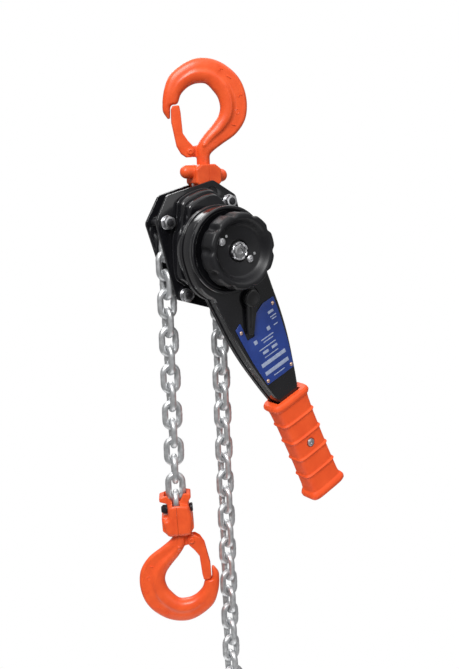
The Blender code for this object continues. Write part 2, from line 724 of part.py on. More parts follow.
def drive_shaft():
    """Pinion shaft through the sheave, with the friction hub, linings, ratchet and change gear."""
    shaft = as_object("pinion_shaft", cylinder_mesh(
        "pinion_shaft", SHAFT_RADIUS, PINION_Z[1] - 1, 95.0), hoist_axes, "bare_steel")
    teeth = as_object("pinion_teeth", plate_mesh("pinion_teeth", [turned_points(
        gear_outline(TEETH_PINION, start=math.pi / 2), BODY_TILT)], *PINION_Z), hoist_axes)
    tail = as_object("pinion_tail", cylinder_mesh(
        "pinion_tail", 4.5, PINION_Z[0] - 1.8, PINION_Z[0] + 2, steps=16), hoist_axes)
    join(shaft, teeth, tail)
    bore = SHAFT_RADIUS + GAP
    lining = 2.4
    low, high = RATCHET_Z
    as_object("friction_hub", turned_mesh("friction_hub", (
        (22, low - lining - 0.6), (22, PLATE_OUTER + 2 * GAP), (bore, PLATE_OUTER + 2 * GAP),
        (bore, low - lining - 0.6))),
        hoist_axes, "bare_steel")
    for number, start in ((1, low - lining - 0.3), (2, high + GAP)):
        as_object("friction_disc_%d" % number, turned_mesh("friction_disc", (
            (23, start + lining), (23, start), (13, start), (13, start + lining))),
            hoist_axes, "friction_lining")
    teeth = []
    count = 15
    for index in range(count):
        angle = math.tau * index / count
        for radius, lead in ((26.5, 0.0), (29.8, 0.62), (29.8, 0.74), (26.5, 0.96)):
            turn = angle + lead * math.tau / count
            teeth.append((radius * math.cos(turn), radius * math.sin(turn)))
    as_object("ratchet_disc", plate_mesh("ratchet_disc", [teeth, circle(9)], low, high),
              hoist_axes, "bare_steel")
    change_teeth = gear_outline(16, 3.4)
    change = as_object("change_gear", plate_mesh(
        "change_gear", [change_teeth, circle(10.0, steps=12)], 58.5, 68.0), hoist_axes, "bare_steel")
    clamp = high + lining + 0.6
    sleeve = as_object("change_gear_sleeve", turned_mesh("change_sleeve", (
        (13, 81.5), (13, 42.0), (22, 42.0), (22, clamp), (bore, clamp), (bore, 81.5))), hoist_axes)
    join(change, sleeve)


# Hand wheel.
LOBES = 10
LOBE_PHASE = math.radians(33)


def lobe_outline(outer, valley, steps=4):
    """Round lobes with a scalloped valley between them."""
    points = []
    for index in range(LOBES * steps):
        angle = LOBE_PHASE + math.tau * index / (LOBES * steps)
        dip = max(0.0, math.cos(LOBES * (angle - LOBE_PHASE))) ** 2
        radius = outer - (outer - valley) * dip
        points.append((radius * math.cos(angle), radius * math.sin(angle)))
    return points


def hand_wheel():
    back, front = WHEEL_Z
    wheel = as_object("hand_wheel", plate_mesh(
        "hand_wheel", [lobe_outline(39.5, 36.6)], back, front, bevel=1.2), hoist_axes, "black_enamel")
    dish = as_object("hand_wheel_dish", cylinder_mesh("dish", 28, 94.0, front + 1, tip=33.5), hoist_axes)
    hub_well = as_object("hand_wheel_well", cylinder_mesh("well", 11.5, 90.0, front), hoist_axes)
    bore = as_object("hand_wheel_bore", cylinder_mesh(
        "bore", SHAFT_RADIUS + GAP, back - 1, front), hoist_axes)
    back_room = as_object("hand_wheel_back_room", cylinder_mesh(
        "back_room", 33, back - 1, 88.0, tip=31), hoist_axes)
    cut(wheel, dish, hub_well, bore, back_room)
    hub = as_object("hand_wheel_hub", turned_mesh("hub", (
        (14, 89.0), (14, 82.2), (SHAFT_RADIUS + GAP, 82.2), (SHAFT_RADIUS + GAP, 89.0))), hoist_axes)
    join(wheel, hub)
    nut = as_object("castle_nut", turned_mesh("castle_nut", (
        (9.4, 97.6), (9.4, 90.4), (SHAFT_RADIUS + GAP, 90.4), (SHAFT_RADIUS + GAP, 97.6))),
        hoist_axes, "zinc_steel")
    for index in range(4):
        slot = box_mesh("slot", (-12, -1.3, 95.2), (12, 1.3, 99))
        slot.transform(Matrix.Rotation(math.pi * index / 4, 4, "Z"))
        cut(nut, as_object("castle_nut_slot_%d" % index, slot, hoist_axes))
    for number, centre in ((1, (-20.3, 10.5)), (2, (13.6, -9.0))):
        as_object("wheel_screw_%d" % number, cylinder_mesh(
            "wheel_screw", 4.2, 94.3, 96.6, centre, steps=16, tip=3.4), hoist_axes, "zinc_steel")


# Lever: head, arm and tongue in one outline.
GRIP_SCREW = (0.0, -248.0)
SCREW_RADIUS = 3.0
LEVER_MOUTH = 15.0


def lever_outline(margin=0.0):
    right = [(half - margin, -u) for u, half in ARM_WIDTHS]
    right += [(TONGUE_HALF - margin, -190.0), (TONGUE_HALF - margin, -TONGUE_END + margin)]
    left = [(-x, y) for x, y in reversed(right)]
    start = math.atan2(-ARM_WIDTHS[0][0], ARM_WIDTHS[0][1])
    radius = math.hypot(*ARM_WIDTHS[0]) - margin * 1.2
    steps = 20
    sweep = math.pi - 2 * start
    head = []
    for step in range(1, steps):
        angle = math.pi - start - sweep * step / steps
        grow = min(step, steps - step) / 5
        r = DRUM_RADIUS - margin + (radius - DRUM_RADIUS + margin) * max(0.0, 1 - grow)
        head.append((r * math.cos(angle), r * math.sin(angle)))
    return right + left + head


def lever_group():
    wall = 2.4
    back, front = FRONT_SHELL_Z
    shell = as_object("lever_front_shell", plate_mesh(
        "lever_front_shell", [lever_outline()], back, front, bevel=1.6), lever_axes, "black_enamel")
    drum = as_object("lever_front_drum", cylinder_mesh(
        "drum", DRUM_RADIUS - 0.4, front - 4, DRUM_FRONT, tip=DRUM_RADIUS - 2), lever_axes)
    room = as_object("lever_front_room", plate_mesh(
        "room", [lever_outline(wall)], back - 1, front - wall), lever_axes)
    drum_room = as_object("lever_drum_room", cylinder_mesh(
        "drum_room", DRUM_RADIUS - wall - 2, front - wall - 1, DRUM_FRONT - wall), lever_axes)
    mouth = as_object("lever_mouth", cylinder_mesh(
        "mouth", LEVER_MOUTH, DRUM_FRONT - 8, DRUM_FRONT + 1), lever_axes)
    hub_hole = as_object("lever_hub_hole", cylinder_mesh(
        "hub_hole", 4.0 + GAP, back, front + 2, SELECTOR_HUB, steps=16), lever_axes)
    screw_hole = as_object("lever_screw_hole", cylinder_mesh(
        "screw_hole", SCREW_RADIUS + GAP, 40, 90, GRIP_SCREW, steps=16), lever_axes)
    join(shell, drum)
    cut(shell, room, drum_room, mouth, hub_hole, screw_hole)

    rear = as_object("lever_rear_shell", plate_mesh(
        "lever_rear_shell", [lever_outline()], REAR_SHELL_Z[1] - wall, REAR_SHELL_Z[1]),
        lever_axes, "black_enamel")
    rear_drum = as_object("lever_rear_drum", cylinder_mesh(
        "rear_drum", DRUM_RADIUS - 2.0, REAR_SHELL_Z[0], REAR_SHELL_Z[1] - 1.2,
        tip=DRUM_RADIUS - 0.4), lever_axes)
    rear_room = as_object("lever_rear_room", cylinder_mesh(
        "rear_room", DRUM_RADIUS - 5, REAR_SHELL_Z[0] + wall, REAR_SHELL_Z[1] + 1), lever_axes)
    rear_mouth = as_object("lever_rear_mouth", cylinder_mesh(
        "rear_mouth", LEVER_MOUTH, REAR_SHELL_Z[0] - 1, 60), lever_axes)
    join(rear, rear_drum)
    cut(rear, rear_room, rear_mouth, screw_hole)


GRIP_MIDDLE = 64.4
# Distance from the shaft, half width, half depth: flange, body, flange.
GRIP_STATIONS = ((184.5, 25.5, 14.5), (189.5, 26.5, 15.5), (193.0, 23.0, 13.6), (220.0, 21.5, 13.0),
                 (270.0, 21.0, 12.8), (306.0, 22.0, 13.4), (310.5, 25.8, 15.4), (316.0, 25.2, 14.8),
                 (318.0, 22.0, 12.0))


def grip_ring(distance, half_width, half_depth, corner=2.6):
    ring = []
    for i in range(24):
        angle = math.tau * (i + 0.5) / 24
        c, s = math.cos(angle), math.sin(angle)
        reach = 1.0 / (abs(c) ** (2 * corner) + abs(s) ** (2 * corner)) ** (1 / (2 * corner))
        ring.append((half_width * c * reach, -distance, GRIP_MIDDLE + half_depth * s * reach))
    return ring


def grip_group():
    grip = as_object("lever_grip", loft_mesh("lever_grip", [grip_ring(*row) for row in GRIP_STATIONS]),
                     lever_axes, "orange_grip")
    wide = TONGUE_HALF + GAP
    right = [(18.5, -178.0), (17.5, -184.0), (wide, -193.0), (wide, -TONGUE_END - GAP)]
    pocket = as_object("lever_grip_pocket", plate_mesh(
        "pocket", [right + [(-x, y) for x, y in reversed(right)]],
        REAR_SHELL_Z[1] - 2.4 - GAP, FRONT_SHELL_Z[1] + GAP), lever_axes)
    screw_hole = as_object("lever_grip_hole", cylinder_mesh(
        "grip_hole", SCREW_RADIUS + GAP, 40, 90, GRIP_SCREW, steps=16), lever_axes)
    counterbore = as_object("lever_grip_counterbore", cylinder_mesh(
        "counterbore", 5.6, 75.0, 90, GRIP_SCREW, steps=16), lever_axes)
    cut(grip, pocket, screw_hole, counterbore)
    screw = as_object("grip_screw", cylinder_mesh(
        "grip_screw", SCREW_RADIUS, 48.0, 76.0, GRIP_SCREW, steps=16), lever_axes, "zinc_steel")
    head = as_object("grip_screw_head", cylinder_mesh(
        "screw_head", 5.0, 75.3, 78.6, GRIP_SCREW, steps=16, tip=4.0), lever_axes)
    tail_nut = as_object("grip_screw_nut", cylinder_mesh(
        "tail_nut", 5.6, 47.0, 51.2, GRIP_SCREW, steps=6), lever_axes)
    join(screw, head, tail_nut)


NAME_PLATE = ((29.5, -72.5), (28.5, -95), (25.5, -125), (19.8, -157), (-19.8, -157), (-25.5, -125),
              (-28.5, -95),
              (-29.5, -81), (-21, -77), (-21, -99), (-11, -99), (-4, -80), (14, -72.5))


def name_plate():
    as_object("name_plate", plate_mesh(
        "name_plate", [NAME_PLATE], FRONT_SHELL_Z[1] + GAP, FRONT_SHELL_Z[1] + GAP + 0.8),
        lever_axes, "blue_plate")


SPRING_Z = 63.0


def selector_group():
    hub_x, hub_y = SELECTOR_HUB
    face = FRONT_SHELL_Z[1] + GAP + 0.8 + GAP
    half_arm = [(7.5, 2), (6.2, -12), (4.2, -34), (3.0, -39)]
    arm = turned_points(half_arm + [(-x, y) for x, y in reversed(half_arm)],
                        -LEVER_ANGLE - 3.6, SELECTOR_HUB)
    body = as_object("selector_lever", plate_mesh(
        "selector_lever", [arm], face + 1.0, face + 4.6, bevel=0.8), lever_axes, "black_moulding")
    boss = as_object("selector_boss", cylinder_mesh(
        "boss", 9.6, face, face + 6.0, SELECTOR_HUB, steps=24, tip=8.6), lever_axes)
    shaft = as_object("selector_shaft", cylinder_mesh(
        "shaft", 4.0, 57.5, face + 3, SELECTOR_HUB, steps=16), lever_axes)
    join(body, boss, shaft)
    half_pawl = [(7, -6), (13, 16), (10.5, 24.5), (6, 18)]
    pawl = turned_points(half_pawl + [(-x, y) for x, y in reversed(half_pawl)], -24.0, SELECTOR_HUB)
    as_object("selector_pawl", plate_mesh(
        "selector_pawl", [pawl, circle(4.0 + GAP, SELECTOR_HUB, 16)], 59.0, 67.0), lever_axes, "bare_steel")
    plunger_y = hub_y - 9.5
    as_object("detent_plunger", cylinder_mesh(
        "detent_plunger", 3.0, plunger_y - 8, plunger_y - 1.5, (hub_x, SPRING_Z), "y", 16),
        lever_axes, "bare_steel")
    turns, per_turn, coil_radius = 5, 7, 2.6
    coil = bpy.data.curves.new("detent_spring", "CURVE")
    coil.dimensions = "3D"
    coil.bevel_depth = 0.55 * MM
    coil.bevel_resolution = 1
    coil.use_fill_caps = True
    spline = coil.splines.new("POLY")
    spline.points.add(turns * per_turn)
    for index, point in enumerate(spline.points):
        angle = math.tau * index / per_turn
        along = plunger_y - 9.4 - 12.0 * index / (turns * per_turn)
        point.co = (*mm(hub_x + coil_radius * math.cos(angle), along,
                        SPRING_Z + coil_radius * math.sin(angle)), 1)
    holder = bpy.data.objects.new("detent_spring_curve", coil)
    bpy.context.scene.collection.objects.link(holder)
    as_object("detent_spring", baked(holder, "detent_spring"), lever_axes, "bare_steel")


# Chain falls, in the hoist's axes.
LOAD_TOP = -17.9
LOAD_LINKS = 14
SLACK_TOP = -28.1
SLACK_LINKS = 24
WRAP_START = 3.2
WRAP_LINKS = 4


def chains():
    """The load fall turns little by little until its last link faces the bottom yoke's pin."""
    chain_run("load_chain", straight_fall(-FALL_X, LOAD_TOP, LOAD_LINKS, BOTTOM_HOOK_TURN), hoist_axes)
    chain_run("slack_chain", straight_fall(FALL_X, SLACK_TOP, SLACK_LINKS), hoist_axes)
    wrap = []
    for index in range(WRAP_LINKS):
        degrees = 180 - WRAP_START - index * 180 / SHEAVE_POCKETS
        angle = math.radians(degrees)
        wrap.append((WRAP_RADIUS * math.cos(angle), WRAP_RADIUS * math.sin(angle), degrees,
                     90.0 * (1 - index % 2)))
    chain_run("chain_over_sheave", wrap, hoist_axes)


END_RING_WIRE = 3.6
END_RING_RADIUS = 13.0


def end_ring():
    """The stop ring that keeps the slack end from running through the hoist."""
    last = SLACK_TOP - PITCH * (SLACK_LINKS - 1)
    inner_end = last - PITCH / 2
    centre_y = inner_end + END_RING_WIRE + GAP - END_RING_RADIUS
    ring = [(END_RING_RADIUS + x, y) for x, y in circle(END_RING_WIRE, steps=8)]
    mesh = turned_mesh("chain_end_ring", list(reversed(ring)), 16)
    mesh.transform(Matrix.Translation(mm(FALL_X, centre_y, 0)))
    as_object("chain_end_ring", mesh, hoist_axes, "zinc_steel")


# Bottom block: its origin is the chain pin.
CHAIN_PIN_Y = -295.7
CHAIN_PIN_RADIUS = 4.0
BOTTOM_TURN = Matrix.Rotation(math.radians(BOTTOM_HOOK_TURN), 4, "Z")
BOTTOM = (Matrix.Translation(mm(SHEAVE_X - FALL_X, 0, CHAIN_PIN_Y - SHEAVE_DROP)) @ BOTTOM_TURN @ UPRIGHT
          @ Matrix.Rotation(math.radians(BOTTOM_TILT), 4, "Z"))
BOTTOM_APEX = -110.7
BOTTOM_YOKE = ((-17.6, -7.0), (-10.0, -6.2), (-10.0, 9.0), (-18.5, 12.0), (-18.5, 16.5), (-9.5, 19.0),
               (-4.3, 10.5), (4.3, 10.5), (9.5, 20.0), (17.5, 18.5), (17.5, 14.5), (14.0, 9.0),
               (15.0, -5.5), (18.2, -9.0), (18.2, -22.0), (13.0, -30.4), (-10.0, -30.4), (-17.6, -23.0))
BOTTOM_DEPTH = 11.5


def bottom_group():
    yoke_axes = axes("bottom_yoke_axes", BOTTOM)
    hook_axes = axes("bottom_hook_axes", BOTTOM @ Matrix.Translation(mm(0, BOTTOM_APEX, 0))
                     @ Matrix.Rotation(math.pi, 4, "Z"))
    head_low = BOTTOM_APEX - HEAD_SPAN[1]
    head_high = BOTTOM_APEX - HEAD_SPAN[0]
    outline = rounded(BOTTOM_YOKE, 1.0, 1)
    for name, side in (("bottom_yoke_left", -1), ("bottom_yoke_right", 1)):
        body = as_object(name, plate_mesh(name, [outline], -BOTTOM_DEPTH, BOTTOM_DEPTH),
                         yoke_axes, "orange_enamel")
        other = [(side * 0.15, -60), (-side * 40, -60), (-side * 40, 60), (side * 0.15, 60)]
        tools = [plate_mesh("other_half", [other], -30, 30),
                 box_mesh("link_room", (-4.2, -14.8, -13), (4.2, 40, 13)),
                 box_mesh("next_link_room", (-13.0, 7.6, -6.5), (13.0, 40, 6.5)),
                 cylinder_mesh("shank_hole", SHANK_RADIUS + 0.6, -60, head_low + 1, axis="y", steps=16),
                 cylinder_mesh("head_room", HEAD_RADIUS + 0.4, head_low - 0.4, head_high + 0.4,
                               axis="y", steps=16),
                 cylinder_mesh("pin_hole", CHAIN_PIN_RADIUS + GAP, -30, 30, axis="x", steps=16)]
        cut(body, *[as_object("%s_cut_%d" % (name, k), mesh, yoke_axes)
                    for k, mesh in enumerate(tools)])
    pin = as_object("chain_pin", cylinder_mesh(
        "chain_pin", CHAIN_PIN_RADIUS, -17.5, 15.5, axis="x", steps=16), yoke_axes, "bare_steel")
    head = as_object("chain_pin_head", cylinder_mesh(
        "pin_head", 5.0, 15.3, 18.6, axis="x", steps=16), yoke_axes)
    join(pin, head)
    nut = as_object("chain_pin_nut", cylinder_mesh(
        "chain_pin_nut", 5.6, -15.8, -10.3, axis="x", steps=6), yoke_axes, "zinc_steel")
    nut_hole = as_object("chain_pin_nut_hole", cylinder_mesh(
        "nut_hole", CHAIN_PIN_RADIUS + GAP, -30, 0, axis="x", steps=16), yoke_axes)
    cut(nut, nut_hole)
    hook("bottom_hook", hook_axes)
    latch_pin("bottom_latch_pin", hook_axes)
    latch("bottom_latch", hook_axes)


top_hook_group()
top_yoke_group()
side_plates()
stay_bolts()
top_pin()
brake_cover()
gear_case()
chain_guides()
ratchet_pawls()
load_sheave()
gears()
drive_shaft()
hand_wheel()
lever_group()
grip_group()
name_plate()
selector_group()
chains()
end_ring()
bottom_group()
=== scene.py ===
"""The looks of the lever chain hoist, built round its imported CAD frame.

Shapes are drawn in millimetres in each group's own axes: x to the right, y up and z towards the
lever side, as the CAD source draws them. A matrix per group carries them into the row frame.
"""

import json
import math

import bmesh
import bpy
from mathutils import Matrix, Vector
from mathutils.bvhtree import BVHTree

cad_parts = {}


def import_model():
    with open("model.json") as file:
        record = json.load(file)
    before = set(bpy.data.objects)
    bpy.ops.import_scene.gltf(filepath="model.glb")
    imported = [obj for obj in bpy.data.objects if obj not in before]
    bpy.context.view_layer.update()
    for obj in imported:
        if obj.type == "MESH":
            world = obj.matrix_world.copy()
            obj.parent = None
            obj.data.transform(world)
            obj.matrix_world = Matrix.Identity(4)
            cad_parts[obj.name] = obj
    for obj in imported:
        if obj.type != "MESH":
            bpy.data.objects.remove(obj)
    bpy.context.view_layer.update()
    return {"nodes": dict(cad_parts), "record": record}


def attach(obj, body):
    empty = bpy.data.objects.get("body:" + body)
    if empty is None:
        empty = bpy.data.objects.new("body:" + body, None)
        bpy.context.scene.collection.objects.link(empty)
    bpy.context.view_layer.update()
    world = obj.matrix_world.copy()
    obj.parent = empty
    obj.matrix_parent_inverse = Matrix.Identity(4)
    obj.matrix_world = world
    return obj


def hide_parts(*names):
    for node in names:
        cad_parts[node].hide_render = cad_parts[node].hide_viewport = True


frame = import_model()
MM = 0.001


def shift(x, y, z=0.0):
    return Matrix.Translation(Vector((x, y, z)) * MM)


def turn(degrees, axis="Z"):
    return Matrix.Rotation(math.radians(degrees), 4, axis)


# ---------------------------------------------------------------- axes of the groups

UPRIGHT = turn(90, "X")
HOIST = shift(-20, 0, -175.5) @ UPRIGHT
BODY_TILT = 13.7
PLATES = HOIST @ shift(11.2, -1.0) @ turn(BODY_TILT)
GEARS = HOIST @ turn(BODY_TILT)
LEVER_ANGLE = 24.3
LEVER = HOIST @ turn(LEVER_ANGLE)
TOP_HOOK = turn(-28) @ UPRIGHT
BOTTOM_BLOCK = shift(-53.5, 0, -471.2) @ turn(-30) @ UPRIGHT @ turn(2.5)
BOTTOM_HOOK = BOTTOM_BLOCK @ shift(0, -110.7) @ turn(180)


# ---------------------------------------------------------------- materials

def ramp(tree, value, low, high):
    """Turn a 0 to 1 value into one between two numbers."""
    spread = tree.nodes.new("ShaderNodeMapRange")
    spread.inputs["To Min"].default_value = low
    spread.inputs["To Max"].default_value = high
    tree.links.new(value, spread.inputs["Value"])
    return spread.outputs["Result"]


def noise(tree, scale, detail=3.0, stretch=(1, 1, 1)):
    """Noise in the object's own coordinates, its scale in features per metre."""
    place = tree.nodes.new("ShaderNodeTexCoord")
    mapping = tree.nodes.new("ShaderNodeMapping")
    mapping.inputs["Scale"].default_value = stretch
    texture = tree.nodes.new("ShaderNodeTexNoise")
    texture.inputs["Scale"].default_value = scale
    texture.inputs["Detail"].default_value = detail
    tree.links.new(place.outputs["Object"], mapping.inputs["Vector"])
    tree.links.new(mapping.outputs["Vector"], texture.inputs["Vector"])
    return texture.outputs["Fac"]


def finish_material(name, light, dark, rough, metallic=0.0, patch=60.0, grain=900.0, relief=0.05,
                    swell=0.0, stretch=(1, 1, 1), speck=0.0, **sockets):
    """A Principled material whose colour, roughness and relief vary over the surface.

    patch and grain are features per metre of the slow and the fine noise, and swell is the depth
    of the slow relief beside the fine one. speck is the share of small darker specks.
    """
    material = bpy.data.materials.new(name)
    material.use_nodes = True
    tree = material.node_tree
    shader = tree.nodes["Principled BSDF"]
    shader.inputs["Metallic"].default_value = metallic
    for socket, value in sockets.items():
        shader.inputs[socket.replace("_", " ")].default_value = value
    slow = noise(tree, patch, 4.0, stretch)
    fine = noise(tree, grain, 2.0, stretch)
    mix = tree.nodes.new("ShaderNodeMix")
    mix.data_type = "RGBA"
    mix.inputs[6].default_value = (*dark, 1)
    mix.inputs[7].default_value = (*light, 1)
    tree.links.new(ramp(tree, slow, -0.35, 1.6), mix.inputs[0])
    colour = mix.outputs[2]
    if speck:
        spots = tree.nodes.new("ShaderNodeMix")
        spots.data_type = "RGBA"
        spots.blend_type = "MULTIPLY"
        spots.inputs[7].default_value = (0.45, 0.42, 0.40, 1)
        tree.links.new(colour, spots.inputs[6])
        tree.links.new(ramp(tree, noise(tree, grain * 0.5, 1.0), -speck * 7, speck * 8),
                       spots.inputs[0])
        spots.clamp_factor = True
        colour = spots.outputs[2]
    tree.links.new(colour, shader.inputs["Base Color"])
    tree.links.new(ramp(tree, slow, *rough), shader.inputs["Roughness"])
    bump = tree.nodes.new("ShaderNodeBump")
    bump.inputs["Strength"].default_value = relief
    bump.inputs["Distance"].default_value = 0.4 * MM
    tree.links.new(fine, bump.inputs["Height"])
    last = bump
    if swell:
        last = tree.nodes.new("ShaderNodeBump")
        last.inputs["Strength"].default_value = swell
        last.inputs["Distance"].default_value = 1.5 * MM
        tree.links.new(slow, last.inputs["Height"])
        tree.links.new(bump.outputs["Normal"], last.inputs["Normal"])
    tree.links.new(last.outputs["Normal"], shader.inputs["Normal"])
    return material


FINISHES = {
    "orange_enamel": finish_material(
        "orange_enamel", (0.88, 0.112, 0.024), (0.72, 0.070, 0.014), (0.26, 0.42), patch=70,
        grain=700, relief=0.14, swell=0.16, Specular_IOR_Level=0.34, Coat_Weight=0.14,
        Coat_Roughness=0.18),
    "black_enamel": finish_material(
        "black_enamel", (0.009, 0.009, 0.011), (0.005, 0.005, 0.006), (0.10, 0.22), patch=50,
        grain=600, relief=0.07, swell=0.08, Specular_IOR_Level=0.5, Coat_Weight=0.35,
        Coat_Roughness=0.06),
    "zinc_steel": finish_material(
        "zinc_steel", (0.76, 0.77, 0.78), (0.52, 0.53, 0.54), (0.30, 0.50), metallic=0.85,
        patch=240, grain=1500, relief=0.12),
    "bare_steel": finish_material(
        "bare_steel", (0.46, 0.46, 0.47), (0.33, 0.33, 0.34), (0.24, 0.42), metallic=1.0,
        patch=160, grain=2500, relief=0.10, stretch=(1, 1, 4)),
    "orange_grip": finish_material(
        "orange_grip", (0.96, 0.112, 0.022), (0.84, 0.080, 0.015), (0.44, 0.58), patch=45,
        grain=2400, relief=0.18, Specular_IOR_Level=0.32),
    "black_moulding": finish_material(
        "black_moulding", (0.013, 0.013, 0.015), (0.008, 0.008, 0.009), (0.30, 0.44), patch=80,
        grain=3000, relief=0.15),
    "friction_lining": finish_material(
        "friction_lining", (0.17, 0.13, 0.10), (0.11, 0.085, 0.07), (0.8, 0.95), patch=900,
        grain=2500, relief=0.3, speck=0.2),
    "blue_plate": finish_material(
        "blue_plate", (0.016, 0.050, 0.27), (0.012, 0.036, 0.20), (0.24, 0.38), patch=60,
        grain=1800, relief=0.04, Coat_Weight=0.3, Coat_Roughness=0.15),
}
DARK_BOLT = finish_material("dark_bolt", (0.045, 0.045, 0.05), (0.025, 0.025, 0.028), (0.28, 0.45),
                            metallic=0.6, patch=300, grain=1600, relief=0.12)
WHEEL_BLACK = finish_material("wheel_black", (0.011, 0.011, 0.013), (0.006, 0.006, 0.007),
                              (0.34, 0.46), patch=50, grain=900, relief=0.10,
                              Specular_IOR_Level=0.36)
PLATED_SCREW = finish_material("plated_screw", (0.78, 0.78, 0.80), (0.55, 0.55, 0.57), (0.26, 0.40),
                               metallic=1.0, patch=300, grain=1600, relief=0.12)
PLATE_PRINT = finish_material("plate_print", (0.40, 0.46, 0.60), (0.26, 0.31, 0.48), (0.35, 0.5),
                              patch=200, grain=1500, relief=0.05)
COPPER_RIVET = finish_material("plate_rivet", (0.72, 0.52, 0.40), (0.55, 0.36, 0.27), (0.3, 0.45),
                               metallic=0.8, patch=400, grain=1500, relief=0.1)


# ---------------------------------------------------------------- mesh tools

def finished(name, bm, sharp=40):
    """A smooth mesh in metres from a bmesh in millimetres; edges over the angle stay sharp."""
    bmesh.ops.remove_doubles(bm, verts=bm.verts, dist=0.001)
    bmesh.ops.recalc_face_normals(bm, faces=bm.faces)
    bmesh.ops.scale(bm, vec=(MM, MM, MM), verts=bm.verts)
    mesh = bpy.data.meshes.new(name)
    bm.to_mesh(mesh)
    bm.free()
    return smooth(mesh, sharp)


def smooth(mesh, sharp=40):
    mesh.shade_smooth()
    mesh.set_sharp_from_angle(angle=math.radians(sharp))
    return mesh


def skin(name, rings, closed=False, sharp=40):
    """A skin through rings of equal point counts, capped at both ends or closed on itself."""
    bm = bmesh.new()
    loops = [[bm.verts.new(point) for point in ring] for ring in rings]
    pairs = list(zip(loops, loops[1:]))
    if closed:
        pairs.append((loops[-1], loops[0]))
    count = len(rings[0])
    for first, second in pairs:
        for i in range(count):
            j = (i + 1) % count
            bm.faces.new((first[i], first[j], second[j], second[i]))
    if not closed:
        bm.faces.new(reversed(loops[0]))
        bm.faces.new(loops[-1])
    return finished(name, bm, sharp)


def around(steps):
    return [math.tau * i / steps for i in range(steps)]


AXES = {"z": Matrix(), "x": turn(90, "Y"), "y": turn(-90, "X")}


def turned(name, profile, centre=(0, 0, 0), axis="z", steps=48, sharp=40):
    """Turn a profile of (radius, height) points round an axis.

    A profile that starts and ends on the axis is a solid, and any other one closes on itself.
    """
    rings = [[(radius * math.cos(a), radius * math.sin(a), height) for a in around(steps)]
             for radius, height in profile]
    solid = profile[0][0] == 0 and profile[-1][0] == 0
    bm = bmesh.new()
    loops = []
    for (radius, height), ring in zip(profile, rings):
        loops.append([bm.verts.new((0, 0, height))] if radius == 0
                     else [bm.verts.new(point) for point in ring])
    pairs = list(zip(loops, loops[1:])) + ([] if solid else [(loops[-1], loops[0])])
    for first, second in pairs:
        for i in range(steps):
            j = (i + 1) % steps
            corners = [first[i % len(first)], first[j % len(first)],
                       second[j % len(second)], second[i % len(second)]]
            bm.faces.new(list(dict.fromkeys(corners)))
    bm.transform(Matrix.Translation(centre) @ AXES[axis])
    return finished(name, bm, sharp)


def rounded(corners, radius, steps=6):
    """Round each corner of a closed polygon with an arc."""
    points = []
    for index, corner in enumerate(corners):
        here = Vector(corner)
        back = (Vector(corners[index - 1]) - here).normalized()
        ahead = (Vector(corners[(index + 1) % len(corners)]) - here).normalized()
        half = back.angle(ahead) / 2
        reach = radius / math.tan(half)
        centre = here + (back + ahead).normalized() * (radius / math.sin(half))
        start = here + back * reach - centre
        sweep = start.angle_signed(here + ahead * reach - centre)
        points += [tuple(centre + Matrix.Rotation(-sweep * step / steps, 2) @ start)
                   for step in range(steps + 1)]
    return points


def inset(outline, distance):
    """Move an outline's points towards its middle."""
    middle = sum((Vector(point) for point in outline), Vector((0, 0))) / len(outline)
    return [tuple(middle + (Vector(p) - middle) * (1 - distance / (Vector(p) - middle).length))
            for p in outline]


def circle(radius, centre=(0, 0), steps=48):
    return [(centre[0] + radius * math.cos(a), centre[1] + radius * math.sin(a))
            for a in around(steps)]


def spun(points, degrees, centre=(0, 0)):
    """Turn points about the origin, then move them to the centre."""
    matrix = Matrix.Rotation(math.radians(degrees), 2)
    return [tuple(matrix @ Vector(point) + Vector(centre)) for point in points]


def mirrored(half):
    """A half outline down the right side, closed by its mirror image up the left."""
    return half + [(-x, y) for x, y in reversed(half)]


def oblong(width, height, radius, steps, centre=(0, 0)):
    """A rectangle with rounded corners."""
    x, y, w, h = *centre, width / 2, height / 2
    return rounded([(x - w, y - h), (x + w, y - h), (x + w, y + h), (x - w, y + h)], radius, steps)


def evaluated(holder, name):
    bpy.context.view_layer.update()
    graph = bpy.context.evaluated_depsgraph_get()
    mesh = bpy.data.meshes.new_from_object(holder.evaluated_get(graph))
    mesh.name = name
    bpy.data.objects.remove(holder, do_unlink=True)
    return mesh


def holder_of(name, data):
    holder = bpy.data.objects.new(name, data)
    bpy.context.scene.collection.objects.link(holder)
    return holder


def plate(name, outlines, low, high, edge=0.6, resolution=3, sharp=40):
    """A flat outline with any holes, from low to high along z, its edges rounded."""
    curve = bpy.data.curves.new(name, "CURVE")
    curve.dimensions = "2D"
    curve.fill_mode = "BOTH"
    curve.extrude = ((high - low) / 2 - edge) * MM
    curve.bevel_depth = edge * MM
    curve.bevel_resolution = resolution
    curve.offset = -edge * MM
    for outline in outlines:
        spline = curve.splines.new("POLY")
        spline.points.add(len(outline) - 1)
        spline.use_cyclic_u = True
        for point, (x, y) in zip(spline.points, outline):
            point.co = (x * MM, y * MM, 0, 1)
    mesh = evaluated(holder_of(name + "_outline", curve), name)
    mesh.transform(shift(0, 0, (low + high) / 2))
    bm = bmesh.new()
    bm.from_mesh(mesh)
    bmesh.ops.remove_doubles(bm, verts=bm.verts, dist=0.01 * MM)
    bmesh.ops.recalc_face_normals(bm, faces=bm.faces)
    bm.to_mesh(mesh)
    bm.free()
    return smooth(mesh, sharp)


def together(name, *meshes):
    """Several closed meshes as one mesh, without joining their surfaces."""
    bm = bmesh.new()
    for mesh in meshes:
        bm.from_mesh(mesh)
    mesh = bpy.data.meshes.new(name)
    bm.to_mesh(mesh)
    bm.free()
    return smooth(mesh)


